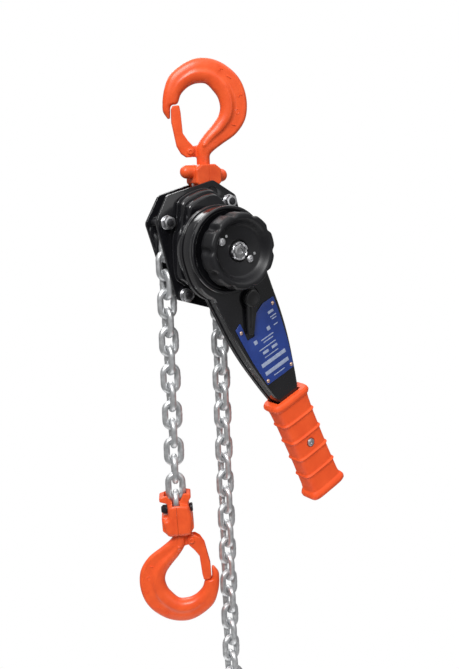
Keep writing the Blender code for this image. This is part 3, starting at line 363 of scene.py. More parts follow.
def block(name, low, high):
    """A plain box, used only as a cutting tool."""
    bm = bmesh.new()
    bmesh.ops.create_cube(bm, size=1.0)
    size = [b - a for a, b in zip(low, high)]
    middle = [(a + b) / 2 for a, b in zip(low, high)]
    bmesh.ops.scale(bm, vec=size, verts=bm.verts)
    bm.transform(Matrix.Translation(middle))
    return finished(name, bm)


def rod(name, radius, low, high, centre=(0, 0, 0), axis="z", steps=40):
    """A plain cylinder, used only as a cutting tool or inside a union."""
    return turned(name, ((0, low), (radius, low), (radius, high), (0, high)), centre, axis, steps)


def combined(mesh, tools, operation="DIFFERENCE", sharp=40):
    """Cut the tools from a mesh or join them to it."""
    holder = holder_of(mesh.name + "_whole", mesh)
    helpers = [holder_of("%s_tool_%d" % (mesh.name, k), tool) for k, tool in enumerate(tools)]
    for helper in helpers:
        modifier = holder.modifiers.new(helper.name, "BOOLEAN")
        modifier.operation = operation
        modifier.object = helper
    result = evaluated(holder, mesh.name)
    for helper in helpers:
        bpy.data.objects.remove(helper, do_unlink=True)
    return smooth(result, sharp)


def cast(name, meshes, voxel=0.6, passes=6):
    """Overlapping closed meshes melted into one, with the soft corners of a casting."""
    holder = holder_of(name + "_cast", together(name, *meshes))
    remesh = holder.modifiers.new("melt", "REMESH")
    remesh.mode = "VOXEL"
    remesh.voxel_size = voxel * MM
    remesh.use_smooth_shade = True
    ease = holder.modifiers.new("ease", "SMOOTH")
    ease.factor = 0.5
    ease.iterations = passes
    return smooth(evaluated(holder, name), 60)


def piece(name, mesh, axes, body, finish, replaces=(), material=None):
    """Place a mesh, let it ride on a body, and hide the CAD nodes it stands for."""
    item = bpy.data.objects.new(name, mesh)
    bpy.context.scene.collection.objects.link(item)
    item.matrix_world = axes
    mesh.materials.clear()
    mesh.materials.append(material or FINISHES[finish])
    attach(item, body)
    if replaces:
        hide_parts(*([replaces] if isinstance(replaces, str) else replaces))
    return item


# ---------------------------------------------------------------- hooks

# Stations from the hook's point to its shank, the bowl's apex at the origin: inner x and y, outer
# x and y, thickness, and how much thinner the web is than the bead that runs along the bowl.
HOOK_STATIONS = (
    (-34.3, -36.2, -36.8, -37.0, 6.0, 0.0),
    (-34.0, -30.0, -41.6, -29.4, 11.0, 0.0),
    (-33.6, -24.6, -42.2, -23.6, 12.2, 0.0),
    (-31.2, -21.8, -42.0, -21.6, 12.8, 0.0),
    (-25.6, -20.6, -41.8, -17.0, 13.5, 0.0),
    (-21.8, -11.5, -39.4, -5.0, 15.0, 0.05),
    (-15.6, -5.0, -33.2, 9.0, 16.5, 0.1),
    (-9.6, -1.5, -20.4, 19.6, 17.6, 0.14),
    (-4.2, 0.0, -6.0, 26.0, 18.4, 0.15),
    (4.2, 0.0, 8.0, 26.4, 18.4, 0.2),
    (9.2, -3.2, 21.4, 22.4, 18.8, 0.24),
    (14.4, -9.4, 33.4, 14.4, 19.2, 0.3),
    (17.2, -13.2, 42.0, 5.0, 19.4, 0.36),
    (19.4, -18.6, 47.8, -7.4, 19.5, 0.42),
    (20.5, -26.8, 50.2, -23.5, 19.5, 0.5),
    (17.8, -35.5, 47.4, -40.0, 18.5, 0.5),
    (11.0, -44.5, 37.0, -54.5, 17.5, 0.45),
    (1.5, -55.0, 21.5, -65.0, 17.0, 0.3),
    (-5.8, -66.0, 11.0, -72.5, 16.2, 0.1),
    (-7.0, -76.5, 7.1, -78.0, 14.2, 0.0),
    (-6.9, -86.0, 6.9, -86.0, 13.8, 0.0),
)
HOOK_SIDES = 40
HOOK_STEPS = 6
SHANK_RADIUS = 7.3
HEAD_SPAN = (-96.8, -92.8)
LATCH_PIVOT = (-14.0, -72.4)


def smooth_rows(rows, steps):
    """Rows of numbers along a Catmull-Rom curve through the given rows."""
    found = []
    last = len(rows) - 1
    for i in range(last):
        before, first, second, after = (rows[max(0, min(last, i + k))] for k in (-1, 0, 1, 2))
        for step in range(steps + (i == last - 1)):
            t = step / steps
            found.append(tuple(
                0.5 * (2 * b + (c - a) * t + (2 * a - 5 * b + 4 * c - d) * t * t
                       + (3 * b - a - 3 * c + d) * t ** 3)
                for a, b, c, d in zip(before, first, second, after)))
    return found


def ease(low, high, value):
    t = max(0.0, min(1.0, (value - low) / (high - low)))
    return t * t * (3 - 2 * t)


def hook_rings():
    rings = []
    for ix, iy, ox, oy, thick, web in smooth_rows(HOOK_STATIONS, HOOK_STEPS):
        middle = Vector(((ix + ox) / 2, (iy + oy) / 2, 0))
        across = Vector(((ox - ix) / 2, (oy - iy) / 2, 0))
        ring = []
        for angle in around(HOOK_SIDES):
            c, s = math.cos(angle), math.sin(angle)
            reach = (abs(c) ** 2.5 + abs(s) ** 2.5) ** -0.4
            thin = 1 - web * ease(-0.25, 0.12, c * reach) + 0.35 * web * ease(0.55, 0.85, c * reach)
            ring.append(middle + across * c * reach + Vector((0, 0, thick / 2 * s * reach * thin)))
        rings.append(ring)
    return rings


HOOK_MARKS = (("ring", 38.5, -31.0), ("dash", 30.5, 5.5), ("dots", 22.0, 13.5), ("dash", 34.5, -45.0),
              ("dots", 42.5, -14.0))


def mark_mesh(kind):
    """A small raised stamp mark with no meaning: a ring, a dash or three dots."""
    if kind == "ring":
        return turned("ring", [(2.5 + 0.45 * math.cos(a), 0.5 * math.sin(a)) for a in around(8)], steps=24)
    if kind == "dash":
        return plate("dash", [oblong(5.2, 1.2, 0.4, 3)], -0.7, 0.7, 0.3)
    dots = [turned("dot", ((0, -0.3), (0.7, -0.3), (0.7, 0.35), (0.45, 0.65), (0, 0.7)),
                   (x, y, 0), steps=12) for x, y in ((-1.7, 0.4), (0, -0.6), (1.7, 0.5))]
    return together("dots", *dots)


def hook_marks(surface):
    """Seat the stamp marks on the front of the hook's flange."""
    tree = BVHTree.FromPolygons([v.co for v in surface.vertices],
                                [p.vertices for p in surface.polygons])
    marks = []
    for index, (kind, x, y) in enumerate(HOOK_MARKS):
        spot, normal, _, _ = tree.ray_cast(Vector((x, y, 40)) * MM, Vector((0, 0, -1)))
        if spot is None:
            continue
        mesh = mark_mesh(kind)
        mesh.transform(Matrix.Translation(spot) @ normal.to_track_quat("Z", "Y").to_matrix().to_4x4()
                       @ turn(35 * index))
        marks.append(mesh)
    return together("stamp_marks", *marks)


def hook_mesh(name):
    lug = [(LATCH_PIVOT[0] + 5.5 * math.cos(a), LATCH_PIVOT[1] + 5.5 * math.sin(a))
           for a in (math.radians(100 + 10 * k) for k in range(17))]
    lug += [(-4, LATCH_PIVOT[1] - 6), (-2, LATCH_PIVOT[1] + 7.5), (-8, LATCH_PIVOT[1] + 6.5)]
    boss = [(0, -3), (2.4, -3), (2.3, 0.2), (1.6, 1.3), (0.8, 1.7), (0, 1.8)]
    body = cast(name, [
        skin("bent", hook_rings()),
        rod("shank", SHANK_RADIUS, -94.5, -78, axis="y"),
        rod("head", 10.0, *HEAD_SPAN, axis="y"),
        plate("lug", [lug], -3.1, 3.1, 0.6),
        turned("boss", boss, (1.0, -66.0, 7.4), steps=20),
    ], voxel=0.65, passes=8)
    return combined(body, [rod("lug_hole", 2.5, -9, 9, (*LATCH_PIVOT, 0))], sharp=50)


LATCH_OUTLINE = (
    (-33.1, -26.6), (-31.4, -23.2), (-24.2, -22.8), (-22.9, -30.0), (-21.4, -52.5), (-16.5, -60.0),
    (-11.0, -66.2), (-8.6, -71.0), (-8.9, -75.5), (-12.5, -78.1), (-18.5, -78.2), (-24.0, -74.3), (-28.6, -66.0),
    (-33.3, -40.0),
)


def latch_mesh(name):
    """A stamped latch folded round a channel that is open to the outside."""
    outline = rounded(LATCH_OUTLINE, 1.4, 4)
    body = plate(name, [outline], -6.2, 6.2, 1.3, 4)
    channel = plate("channel", [[(x - 2.6, y - 1.2) for x, y in outline]], -4.4, 4.4, 0.4)
    return combined(body, [
        block("slot", (-40, -90, -3.6), (0, -56, 3.6)), channel,
        rod("hole", 2.5, -9, 9, (*LATCH_PIVOT, 0)),
        block("relief", (-9.8, -90, -9), (0, -56, 9)),
    ])


def latch_pin_mesh(name):
    """A rivet pin with a shallow dimple in each head."""
    half = ((0, 7.4), (1.2, 7.4), (1.5, 7.9), (2.6, 8.0), (3.3, 7.6), (3.6, 6.9), (3.6, 6.35), (2.2, 6.35))
    return turned(name, [(r, z) for r, z in half] + [(r, -z) for r, z in reversed(half)],
                  (*LATCH_PIVOT, 0), steps=32)


def make_hook(end, axes, latch_body):
    body = end + "_hook"
    mesh = hook_mesh(body + "_forging")
    marks = hook_marks(mesh)
    piece(body + "_forging", mesh, axes, body, "orange_enamel", body)
    piece(body + "_stamp_marks", marks, axes, body, "orange_enamel")
    piece(end + "_latch_stamping", latch_mesh(end + "_latch_stamping"), axes, latch_body,
          "orange_enamel", end + "_latch")
    piece(end + "_latch_rivet", latch_pin_mesh(end + "_latch_rivet"), axes, body, "zinc_steel",
          end + "_latch_pin", FINISHES["orange_enamel"])


# ---------------------------------------------------------------- top yoke

YOKE_X = 20.0
TOP_PIN = (20.0, 58.0)
TOP_PIN_RADIUS = 6.5
YOKE_OUTLINE = ((-16.2, 69.5), (-16.2, 84.0), (-9.0, 89.3), (9.0, 89.3), (16.2, 84.0), (16.2, 69.5),
                (10.5, 64.5), (10.5, 55.0), (6.5, 49.0), (-6.5, 49.0), (-10.5, 55.0), (-10.5, 64.5))
YOKE_DEPTH = 11.7
KNOB_LIFT = 2.3
YOKE_Y = 175.5


def capsule(name, radius, start, end, steps=40):
    """A round bar along x with a domed far end."""
    side = 1 if end > start else -1
    dome = [(radius * math.cos(a), end + side * radius * math.sin(a))
            for a in (math.radians(10 * k) for k in range(10))]
    profile = [(0, start), (radius, start)] + dome[:-1] + [(0, end + side * radius)]
    return turned(name, profile, axis="x", steps=steps)


def split_yoke(body, whole, axes, middle):
    """Part a yoke into its left and right castings, with a hairline between them."""
    for name, side in ((body + "_left", -1), (body + "_right", 1)):
        far, near = middle - side * 40, middle + side * 0.15
        other = block("other", (min(far, near), -60, -30), (max(far, near), 100, 30))
        piece(name + "_casting", combined(whole.copy(), [other], sharp=50), axes, body,
              "orange_enamel", name)


def top_yoke():
    outline = rounded([(YOKE_X + x, y) for x, y in YOKE_OUTLINE], 2.0, 4)
    solids = [plate("block", [outline], -YOKE_DEPTH, YOKE_DEPTH, 1.8)]
    for side in (-1, 1):
        knob = capsule("knob", 7.3, YOKE_X + side * 8, YOKE_X + side * 22.0)
        knob.transform(shift(0, 79.2 - side * KNOB_LIFT))
        solids.append(knob)
    whole = cast("top_yoke", solids, voxel=0.55, passes=8)
    head_low, head_high = (YOKE_Y + level for level in HEAD_SPAN)
    holes = [rod("shank_hole", SHANK_RADIUS + 0.4, head_high - 1, 100, (YOKE_X, 0, 0), "y"),
             rod("head_room", 10.4, head_low - 0.4, head_high + 0.4, (YOKE_X, 0, 0), "y"),
             rod("pin_hole", TOP_PIN_RADIUS + 0.3, -20, 20, (*TOP_PIN, 0)),
             rod("rivet_hole", 2.3, YOKE_X - 30, YOKE_X + 30, (0, 67.8, 0), "x")]
    whole = combined(whole, holes, sharp=50)
    split_yoke("top_yoke", whole, HOIST, YOKE_X)


# ---------------------------------------------------------------- frame

PLATE_INNER = 12.2
PLATE_OUTER = 15.7
STAY_SQUARE = 40.8
STAY_RADIUS = 3.7
BOLT_PLACES = ((-1, 1), (1, 1), (1, -1), (-1, -1))
FRONT_PLATE = ((-53, 45), (-32, 68), (28, 68.5), (52, 45), (52, -43), (12, -68), (-12, -67),
               (-52.5, -42.5))
REAR_PLATE = ((-51, 42), (-27, 66.5), (26, 67.5), (50, 45), (50, -43), (12, -67), (-12, -66), (-46, -43))
FRAME_CENTRE = (11.2, -1.0)


def plate_local(point):
    """A point of the hoist's axes, seen in the plates' axes."""
    arm = Vector(point) - Vector(FRAME_CENTRE)
    return tuple(Matrix.Rotation(math.radians(-BODY_TILT), 2) @ arm)


def side_plates():
    bolts = [circle(STAY_RADIUS + 0.3, (sx * STAY_SQUARE, sy * STAY_SQUARE), 32) for sx, sy in BOLT_PLACES]
    pin = circle(TOP_PIN_RADIUS + 0.3, plate_local(TOP_PIN), 40)
    for name, corners, side, hub in (("front_side_plate", FRONT_PLATE, 1, 10.2),
                                     ("rear_side_plate", REAR_PLATE, -1, 12.4)):
        low, high = sorted((side * PLATE_INNER, side * PLATE_OUTER))
        holes = bolts + [pin, circle(hub, plate_local((0, 0)), 48)]
        mesh = plate(name + "_pressing", [rounded(corners, 7, 8)] + holes, low, high, 0.45)
        piece(name + "_pressing", mesh, PLATES, "frame", "black_enamel", name)


def hex_nut(name, across, bore, low, high, centre=(0, 0, 0), axis="z"):
    """A chamfered hexagon nut, its corners lowered where the chamfer meets them."""
    corner = across / 2 / math.cos(math.pi / 6)
    steps = 72
    angles = around(steps)
    reach = [across / 2 / math.cos((a + math.pi / 6) % (math.pi / 3) - math.pi / 6) for a in angles]
    drops = [(r - across / 2) * 0.55 for r in reach]
    limit = corner * 0.985

    def ring(radii, levels):
        return [(r * math.cos(a), r * math.sin(a), z) for a, r, z in zip(angles, radii, levels)]

    flat = [min(r, limit) for r in reach]
    face = [across / 2 * 0.97] * steps
    rings = [ring([bore] * steps, [low + 0.4] * steps), ring([bore + 0.4] * steps, [low] * steps),
             ring(face, [low] * steps), ring(flat, [low + 0.1 + d for d in drops]),
             ring(flat, [high - 0.1 - d for d in drops]), ring(face, [high] * steps),
             ring([bore + 0.4] * steps, [high] * steps), ring([bore] * steps, [high - 0.4] * steps)]
    mesh = skin(name, rings, closed=True, sharp=30)
    mesh.transform(shift(*centre) @ AXES[axis])
    return mesh


def washer_profile(bore, outer, low, high, edge=0.25):
    return ((bore, low), (outer - edge, low), (outer, low + edge), (outer, high - edge),
            (outer - edge, high), (bore, high))


def stud_profile(radius, low, high, pitch=1.0, threaded=7.0):
    """A stud with a domed end and rings for its thread."""
    profile = [(0, low), (radius - 0.5, low), (radius, low + 0.5)]
    count = int(threaded / pitch)
    for k in range(count):
        level = high - 0.8 - threaded + k * pitch
        profile += [(radius, level), (radius - 0.35, level + pitch / 2)]
    return profile + [(radius - 0.1, high - 0.7), (radius - 0.9, high - 0.15),
                      (radius * 0.4, high), (0, high)]


def stay_bolts():
    for number, (sx, sy) in enumerate(BOLT_PLACES, 1):
        centre = (sx * STAY_SQUARE, sy * STAY_SQUARE, 0)
        stud = turned("stay_stud", stud_profile(STAY_RADIUS, -PLATE_OUTER, 25.0), centre, steps=32)
        piece("stay_stud_%d" % number, stud, PLATES, "frame", "zinc_steel", "stay_bolt_%d" % number,
              DARK_BOLT)
        seat = PLATE_OUTER
        washer = turned("washer", washer_profile(STAY_RADIUS + 0.2, 7.6, seat + 0.1, seat + 1.5), centre)
        spring = turned("spring", washer_profile(STAY_RADIUS + 0.3, 6.3, seat + 1.6, seat + 3.1), centre)
        nut = hex_nut("stay_hex", 12.2, STAY_RADIUS + 0.05, seat + 3.2, seat + 7.8, centre)
        piece("stay_nut_stack_%d" % number, together("stay_nut_stack", washer, spring, nut), PLATES,
              "frame", "zinc_steel", "stay_nut_%d" % number, PLATED_SCREW)


COVER_STEPS = (16.0, 28.0, 37.0, 44.6)
COVER_OUTLINE = ((-33, -27), (-33.5, 10), (-28.6, 26), (-27.2, 40), (-24, 52), (-8, 60.5), (12, 63.5),
                 (27, 52), (36.5, 34), (43, 18), (43, -18), (31, -44), (12, -53), (-6, -48), (-25, -37))



def flowing(corners, steps=6):
    """A closed curve that flows through the corners of a polygon."""
    points = []
    count = len(corners)
    for index in range(count):
        a, b, c, d = (Vector(corners[(index + k) % count]) for k in (-1, 0, 1, 2))
        for step in range(steps):
            t = step / steps
            points.append(tuple(b + (c - a) * (t / 2) + (a * 2 - b * 5 + c * 4 - d) * (t * t / 2)
                                + (b * 3 - a - c * 3 + d) * (t ** 3 / 2)))
    return points


def brake_cover():
    base = flowing(COVER_OUTLINE)
    low, first, second, top = COVER_STEPS
    flange = plate("brake_cover_pressing", [base], low, low + 3, 0.8)
    body = combined(flange, [
        plate("base", [inset(base, 1.4)], low + 0.5, first, 3.2, 6),
        plate("step", [inset(base, 6)], first - 6, second, 3.4, 6),
        turned("boss", ((0, second - 4), (34, second - 4), (33.4, top - 2.5), (32.6, top - 0.8),
                        (31, top), (0, top)), steps=72),
    ], "UNION")
    wall = 2.2
    body = combined(body, [
        plate("room", [inset(base, 1.4 + wall)], low - 1, first - wall, 0.4),
        plate("step_room", [inset(base, 6 + wall)], first - wall - 2, second - wall, 0.4),
        rod("boss_room", 32 - wall, second - wall - 2, top - wall),
        rod("shaft_hole", 16.5, top - 5, top + 5)])
    piece("brake_cover_pressing", body, HOIST, "frame", "black_enamel", "brake_cover")


CASE_DEPTH = 36.0
CASE_OUTLINE = ((-11, 52.5), (11, 52.5), (25, 37), (25, -37), (11, -52.5), (-11, -52.5), (-25, -37),
                (-25, 37))


def gear_case():
    outline = rounded(CASE_OUTLINE, 7, 6)
    body = combined(plate("gear_case_pressing", [outline], -PLATE_OUTER - 3, -PLATE_OUTER - 0.3, 0.7), [
        plate("cup", [inset(outline, 1.5)], -CASE_DEPTH + 1.0, -PLATE_OUTER - 1, 3.6, 6),
        turned("boss", ((0, -30), (11, -30), (10.4, -CASE_DEPTH + 0.3), (9.8, -CASE_DEPTH),
                        (0, -CASE_DEPTH)), steps=48)], "UNION")
    body = combined(body, [plate("room", [inset(outline, 3.2)], -CASE_DEPTH + 2.2, 0, 0.4)])
    piece("gear_case_pressing", body, GEARS, "frame", "black_enamel", "gear_case")


def chain_guides():
    face = PLATE_INNER - 0.3
    outline = rounded(((-12, -50), (8, -50), (16, -40), (10, -38), (-10, -38), (-16, -42)), 1.5, 4)
    piece("chain_guide_casting", plate("chain_guide_casting", [outline], -face, face, 0.8), HOIST,
          "frame", "zinc_steel", "chain_guide_block")
    profile = ((0, -face), (4.0, -face), (4.6, -face + 0.6), (4.6, -4), (4.2, -2.5), (4.2, 2.5), (4.6, 4),
               (4.6, face - 0.6), (4.0, face), (0, face))
    piece("chain_guide_spool", turned("chain_guide_spool", profile, (51.5, 14, 0), steps=40), HOIST,
          "frame", "zinc_steel", "chain_guide_roller")


# ---------------------------------------------------------------- hand wheel

LOBES = 10
LOBE_PHASE = math.radians(33)
# Radius, height and share of the valleys' depth.
WHEEL_SIDE = ((37.0, 83.0, 0.3), (38.9, 83.6, 0.5), (39.5, 85.2, 0.7), (39.5, 89.0, 1.25),
              (39.5, 93.5, 1.5), (39.5, 98.0, 1.25), (39.3, 101.0, 0.9), (38.7, 102.7, 0.8),
              (37.7, 103.6, 0.8), (36.5, 104.0, 0.7))
WHEEL_VALLEY = 2.7


def wheel_rings(steps=240):
    """The scalloped rim, deepest half way along its depth, and a shallow dish in front."""
    rows = list(WHEEL_SIDE)
    dish_depth, hub = 9.6, 12.5
    for k in range(10):
        t = k / 9
        rows.append((34.5 - 9.5 * t, 104.0 - dish_depth * ease(0, 1, t), 0.0))
    rows += [(hub, 104.0 - dish_depth, 0.0), (11.6, 94.0, 0.0), (11.4, 90.2, 0.0), (7.4, 90.0, 0.0),
             (7.4, 82.3, 0.0), (14.0, 82.3, 0.0), (14.4, 88.2, 0.0), (30.5, 88.2, 0.0), (32.5, 83.4, 0.0)]
    rings = []
    for radius, level, amount in rows:
        ring = []
        for angle in around(steps):
            dip = max(0.0, math.cos(LOBES * (angle - LOBE_PHASE))) ** 2
            r = radius - WHEEL_VALLEY * amount * dip
            ring.append((r * math.cos(angle), r * math.sin(angle), level))
        rings.append(ring)
    return rings


def hand_wheel():
    piece("hand_wheel_casting", skin("hand_wheel_casting", wheel_rings(), closed=True, sharp=50), HOIST,
          "drive_shaft", "black_enamel", "hand_wheel", WHEEL_BLACK)
    bore = 7.3
    nut = turned("castle_ring", ((bore, 91), (bore + 0.4, 90.4), (9.1, 90.4), (9.4, 90.8), (9.4, 97.2),
                                 (9.0, 97.6), (bore + 0.4, 97.6), (bore, 97.2)), steps=80)
    slots = []
    for index in range(4):
        slot = block("slot", (-12, -1.3, 95.2), (12, 1.3, 99))
        slot.transform(turn(45 * index))
        slots.append(slot)
    piece("castle_ring", combined(nut, slots), HOIST, "drive_shaft", "zinc_steel", "castle_nut",
          PLATED_SCREW)
    end = turned("shaft_end", ((0, 94.6), (5.9, 94.6), (6.6, 95.2), (6.6, 96.3), (5.8, 96.9), (3.6, 96.9),
                               (3.4, 95.4), (0, 95.2)), steps=48)
    piece("shaft_end_screw", end, HOIST, "drive_shaft", "bare_steel")
    for number, centre in ((1, (-20.3, 10.5)), (2, (13.6, -9.0))):
        head = turned("screw", ((0, 94.45), (4.2, 94.45), (4.2, 95.2), (3.6, 96.0), (2.4, 96.5), (0, 96.6)),
                      (*centre, 0), steps=40)
        cross = [plate("cross", [spun(oblong(5.2, 0.9, 0.3, 2), 30 + 90 * k, centre)], 95.6, 98, 0.1)
                 for k in (0, 1)]
        piece("wheel_screw_head_%d" % number, combined(head, cross), HOIST, "drive_shaft", "zinc_steel",
              "wheel_screw_%d" % number, PLATED_SCREW)
        spot = (centre[0] + 5.6, centre[1] + 5.2)
        mark = plate("mark", [spun(oblong(2.6, 2.6, 0.4, 3), 20, spot)], 94.2, 94.9, 0.2)
        piece("wheel_mark_%d" % number, mark, HOIST, "drive_shaft", "zinc_steel")


# ---------------------------------------------------------------- lever

# Distance from the shaft and half width.
ARM_WIDTHS = ((40, 37.5), (65, 36), (86, 35), (109, 32.7), (130, 29.3), (150, 25), (168, 20.8),
              (184, 16.5))
DRUM_RADIUS = 46.5
TONGUE_HALF = 14.0
TONGUE_END = 300.0
SELECTOR_HUB = (2.0, -59.0)
SELECTOR_ANGLE = -LEVER_ANGLE - 3.6
REAR_SHELL_Z = (45.2, 55.4)
FRONT_SHELL_Z = (55.8, 73.0)
DRUM_FRONT = 78.0
GRIP_SCREW = (0.0, -248.0)


def lever_outline(margin=0.0):
    """Head, arm and tongue in one outline, moved in by a margin."""
    widths = smooth_rows(ARM_WIDTHS, 4)
    right = [(half - margin, -u) for u, half in widths]
    right += [(TONGUE_HALF - margin, -190.0), (TONGUE_HALF - margin, -TONGUE_END + margin)]
    start = math.atan2(-ARM_WIDTHS[0][0], ARM_WIDTHS[0][1])
    radius = math.hypot(*ARM_WIDTHS[0]) - margin * 1.2
    steps = 60
    head = []
    for step in range(1, steps):
        angle = math.pi - start - (math.pi - 2 * start) * step / steps
        grow = ease(0, steps / 5, min(step, steps - step))
        r = radius + (DRUM_RADIUS - margin - radius) * grow
        head.append((r * math.cos(angle), r * math.sin(angle)))
    return mirrored(right) + head


def lever_shells():
    back, front = FRONT_SHELL_Z
    wall = 2.4
    r = DRUM_RADIUS
    shell = combined(plate("lever_front_pressing", [lever_outline()], back, back + 2.6, 0.5), [
        plate("arm", [lever_outline(1.1)], back + 0.8, front, 3.4, 7),
        turned("drum", ((0, 60), (r - 1.2, 60), (r - 1.2, front + 1.0), (r - 0.5, front + 2.4),
                        (r - 0.5, DRUM_FRONT - 1.3), (r - 1.2, DRUM_FRONT - 0.3), (r - 2.4, DRUM_FRONT),
                        (r - 4.2, DRUM_FRONT - 0.2), (r - 5.4, DRUM_FRONT - 1.3),
                        (r - 6.6, DRUM_FRONT - 2.2), (0, DRUM_FRONT - 2.2)), steps=128),
    ], "UNION")
    recess = turned("selector_recess", ((0, front - 0.7), (12.4, front - 0.7), (13.6, front + 0.6),
                                        (0, front + 2)), (*SELECTOR_HUB, 0), steps=48)
    screw = rod("screw_hole", 3.3, 40, 90, (*GRIP_SCREW, 0))
    shell = combined(shell, [
        plate("room", [lever_outline(1.1 + wall)], back - 1, front - wall, 0.4),
        rod("drum_room", r - wall - 3.4, front - wall - 1, DRUM_FRONT - 2.2 - wall, steps=64),
        rod("mouth", 15.0, DRUM_FRONT - 9, DRUM_FRONT + 1),
        rod("hub_hole", 4.3, back, front + 2, (*SELECTOR_HUB, 0)), recess, screw])
    piece("lever_front_pressing", shell, LEVER, "lever", "black_enamel", "lever_front_shell")

    low, high = REAR_SHELL_Z
    rear = combined(plate("lever_rear_pressing", [lever_outline()], high - 2.4, high, 0.6), [
        turned("drum", ((0, low), (r - 3.4, low), (r - 2.2, low + 0.5), (r - 1.6, low + 1.8),
                        (r - 1.0, high - 1.2), (0, high - 1.2)), steps=128)], "UNION")
    rear = combined(rear, [rod("rear_room", r - 5, low + 2.4, high + 1, steps=64),
                           rod("rear_mouth", 15.0, low - 1, 60),
                           rod("rear_screw_hole", 3.3, 40, 90, (*GRIP_SCREW, 0))])
    piece("lever_rear_pressing", rear, LEVER, "lever", "black_enamel", "lever_rear_shell")


GRIP_MIDDLE = 64.4
# Distance from the shaft, half width, half depth.
GRIP_STATIONS = ((184.5, 24.6, 13.6), (186.5, 25.9, 15.0), (189.5, 26.5, 15.5), (192.0, 25.4, 14.8),
                 (194.0, 23.2, 13.4), (200.0, 22.5, 13.2), (220.0, 21.5, 13.0), (270.0, 21.0, 12.8),
                 (300.0, 21.6, 13.1), (306.0, 22.4, 13.4), (308.5, 24.6, 14.6), (311.5, 25.8, 15.4),
                 (314.5, 25.4, 15.0), (317.0, 23.6, 13.2), (318.0, 21.0, 11.0))
RIB_FIRST = 213.5
RIB_STEP = 23.6
RIB_COUNT = 4
RIB_HEIGHT = 1.5
RIB_WIDTH = 2.3


def grip_section(distance):
    """Half width and half depth of the grip's plain body at a distance from the shaft."""
    for (u0, w0, d0), (u1, w1, d1) in zip(GRIP_STATIONS, GRIP_STATIONS[1:]):
        if u0 <= distance <= u1:
            t = (distance - u0) / (u1 - u0)
            return w0 + (w1 - w0) * t, d0 + (d1 - d0) * t
    return GRIP_STATIONS[-1][1:]


def grip_ring(distance, half_width, half_depth, power=5.2, steps=72):
    ring = []
    for angle in around(steps):
        c, s = math.cos(angle), math.sin(angle)
        reach = (abs(c) ** power + abs(s) ** power) ** (-1 / power)
        ring.append((half_width * c * reach, -distance, GRIP_MIDDLE + half_depth * s * reach))
    return ring


def grip():
    """A ribbed sleeve between two flanges, hollow for the lever's tongue."""
    start, end = GRIP_STATIONS[0][0], GRIP_STATIONS[-1][0]
    count = 190
    rings = []
    for k in range(count + 1):
        distance = start + (end - start) * k / count
        width, depth = grip_section(distance)
        lift = sum(RIB_HEIGHT * math.exp(-((distance - RIB_FIRST - RIB_STEP * i) / (RIB_WIDTH * 0.62)) ** 2)
                   for i in range(RIB_COUNT))
        rings.append(grip_ring(distance, width + lift, depth + lift))
    wide = TONGUE_HALF + 0.3
    right = [(18.5, -178.0), (17.5, -184.0), (wide, -193.0), (wide, -TONGUE_END - 0.3)]
    pocket = plate("pocket", [mirrored(right)],
                   REAR_SHELL_Z[1] - 2.7, FRONT_SHELL_Z[1] + 0.3, 0.3)
    body = combined(skin("lever_grip_sleeve", rings, sharp=50), [
        pocket, rod("grip_hole", 3.3, 40, 90, (*GRIP_SCREW, 0)),
        rod("counterbore", 5.6, 75.0, 90, (*GRIP_SCREW, 0))], sharp=50)
    piece("lever_grip_sleeve", body, LEVER, "lever", "orange_grip", "lever_grip")
    head = turned("grip_screw_head",
                  ((0, 47.2), (2.6, 47.2), (3.0, 47.6), (3.0, 75.2), (5.0, 75.2), (5.0, 76.6),
                   (4.4, 77.8), (3.0, 78.4), (0, 78.5)), (*GRIP_SCREW, 0), steps=40)
    socket = plate("socket", [circle(1.9, GRIP_SCREW, 6)], 76.8, 80, 0.1)
    nut = hex_nut("grip_nut", 9.6, 3.02, 47.4, 51.0, (*GRIP_SCREW, 0))
    piece("grip_screw_and_nut", together("grip_screw_and_nut", combined(head, [socket]), nut), LEVER,
          "lever", "zinc_steel", "grip_screw", PLATED_SCREW)


NAME_PLATE = ((29.5, -72.5), (28.5, -95), (25.5, -125), (19.8, -157), (-19.8, -157), (-25.5, -125),
              (-28.5, -95), (-29.5, -81), (-21, -77), (-21, -99), (-11, -99), (-4, -80), (14, -72.5))
# Generic printing: blocks as (x, y, width, height) in the lever's axes.
PRINT_BLOCKS = ((19.0, -85.5, 8.0, 3.0), (20.0, -91.0, 9.0, 1.2), (20.0, -94.0, 7.0, 1.2),
                (8.5, -100.5, 4.5, 4.5), (19.0, -101.0, 6.0, 1.2), (-13.0, -106.0, 4.5, 4.5),
                (3.0, -108.0, 18.0, 1.2), (3.0, -111.5, 14.0, 1.2), (-1.0, -117.0, 24.0, 1.2),
                (-6.0, -122.0, 8.0, 3.2), (7.0, -122.0, 8.0, 3.2), (0.0, -127.5, 20.0, 1.0),
                (0.0, -134.0, 35.0, 4.4), (0.0, -144.5, 34.0, 4.4), (0.0, -151.5, 16.0, 1.0))
PLATE_RIVETS = ((25.2, -78.5), (-24.6, -87.0), (17.5, -152.8), (-17.5, -152.8))


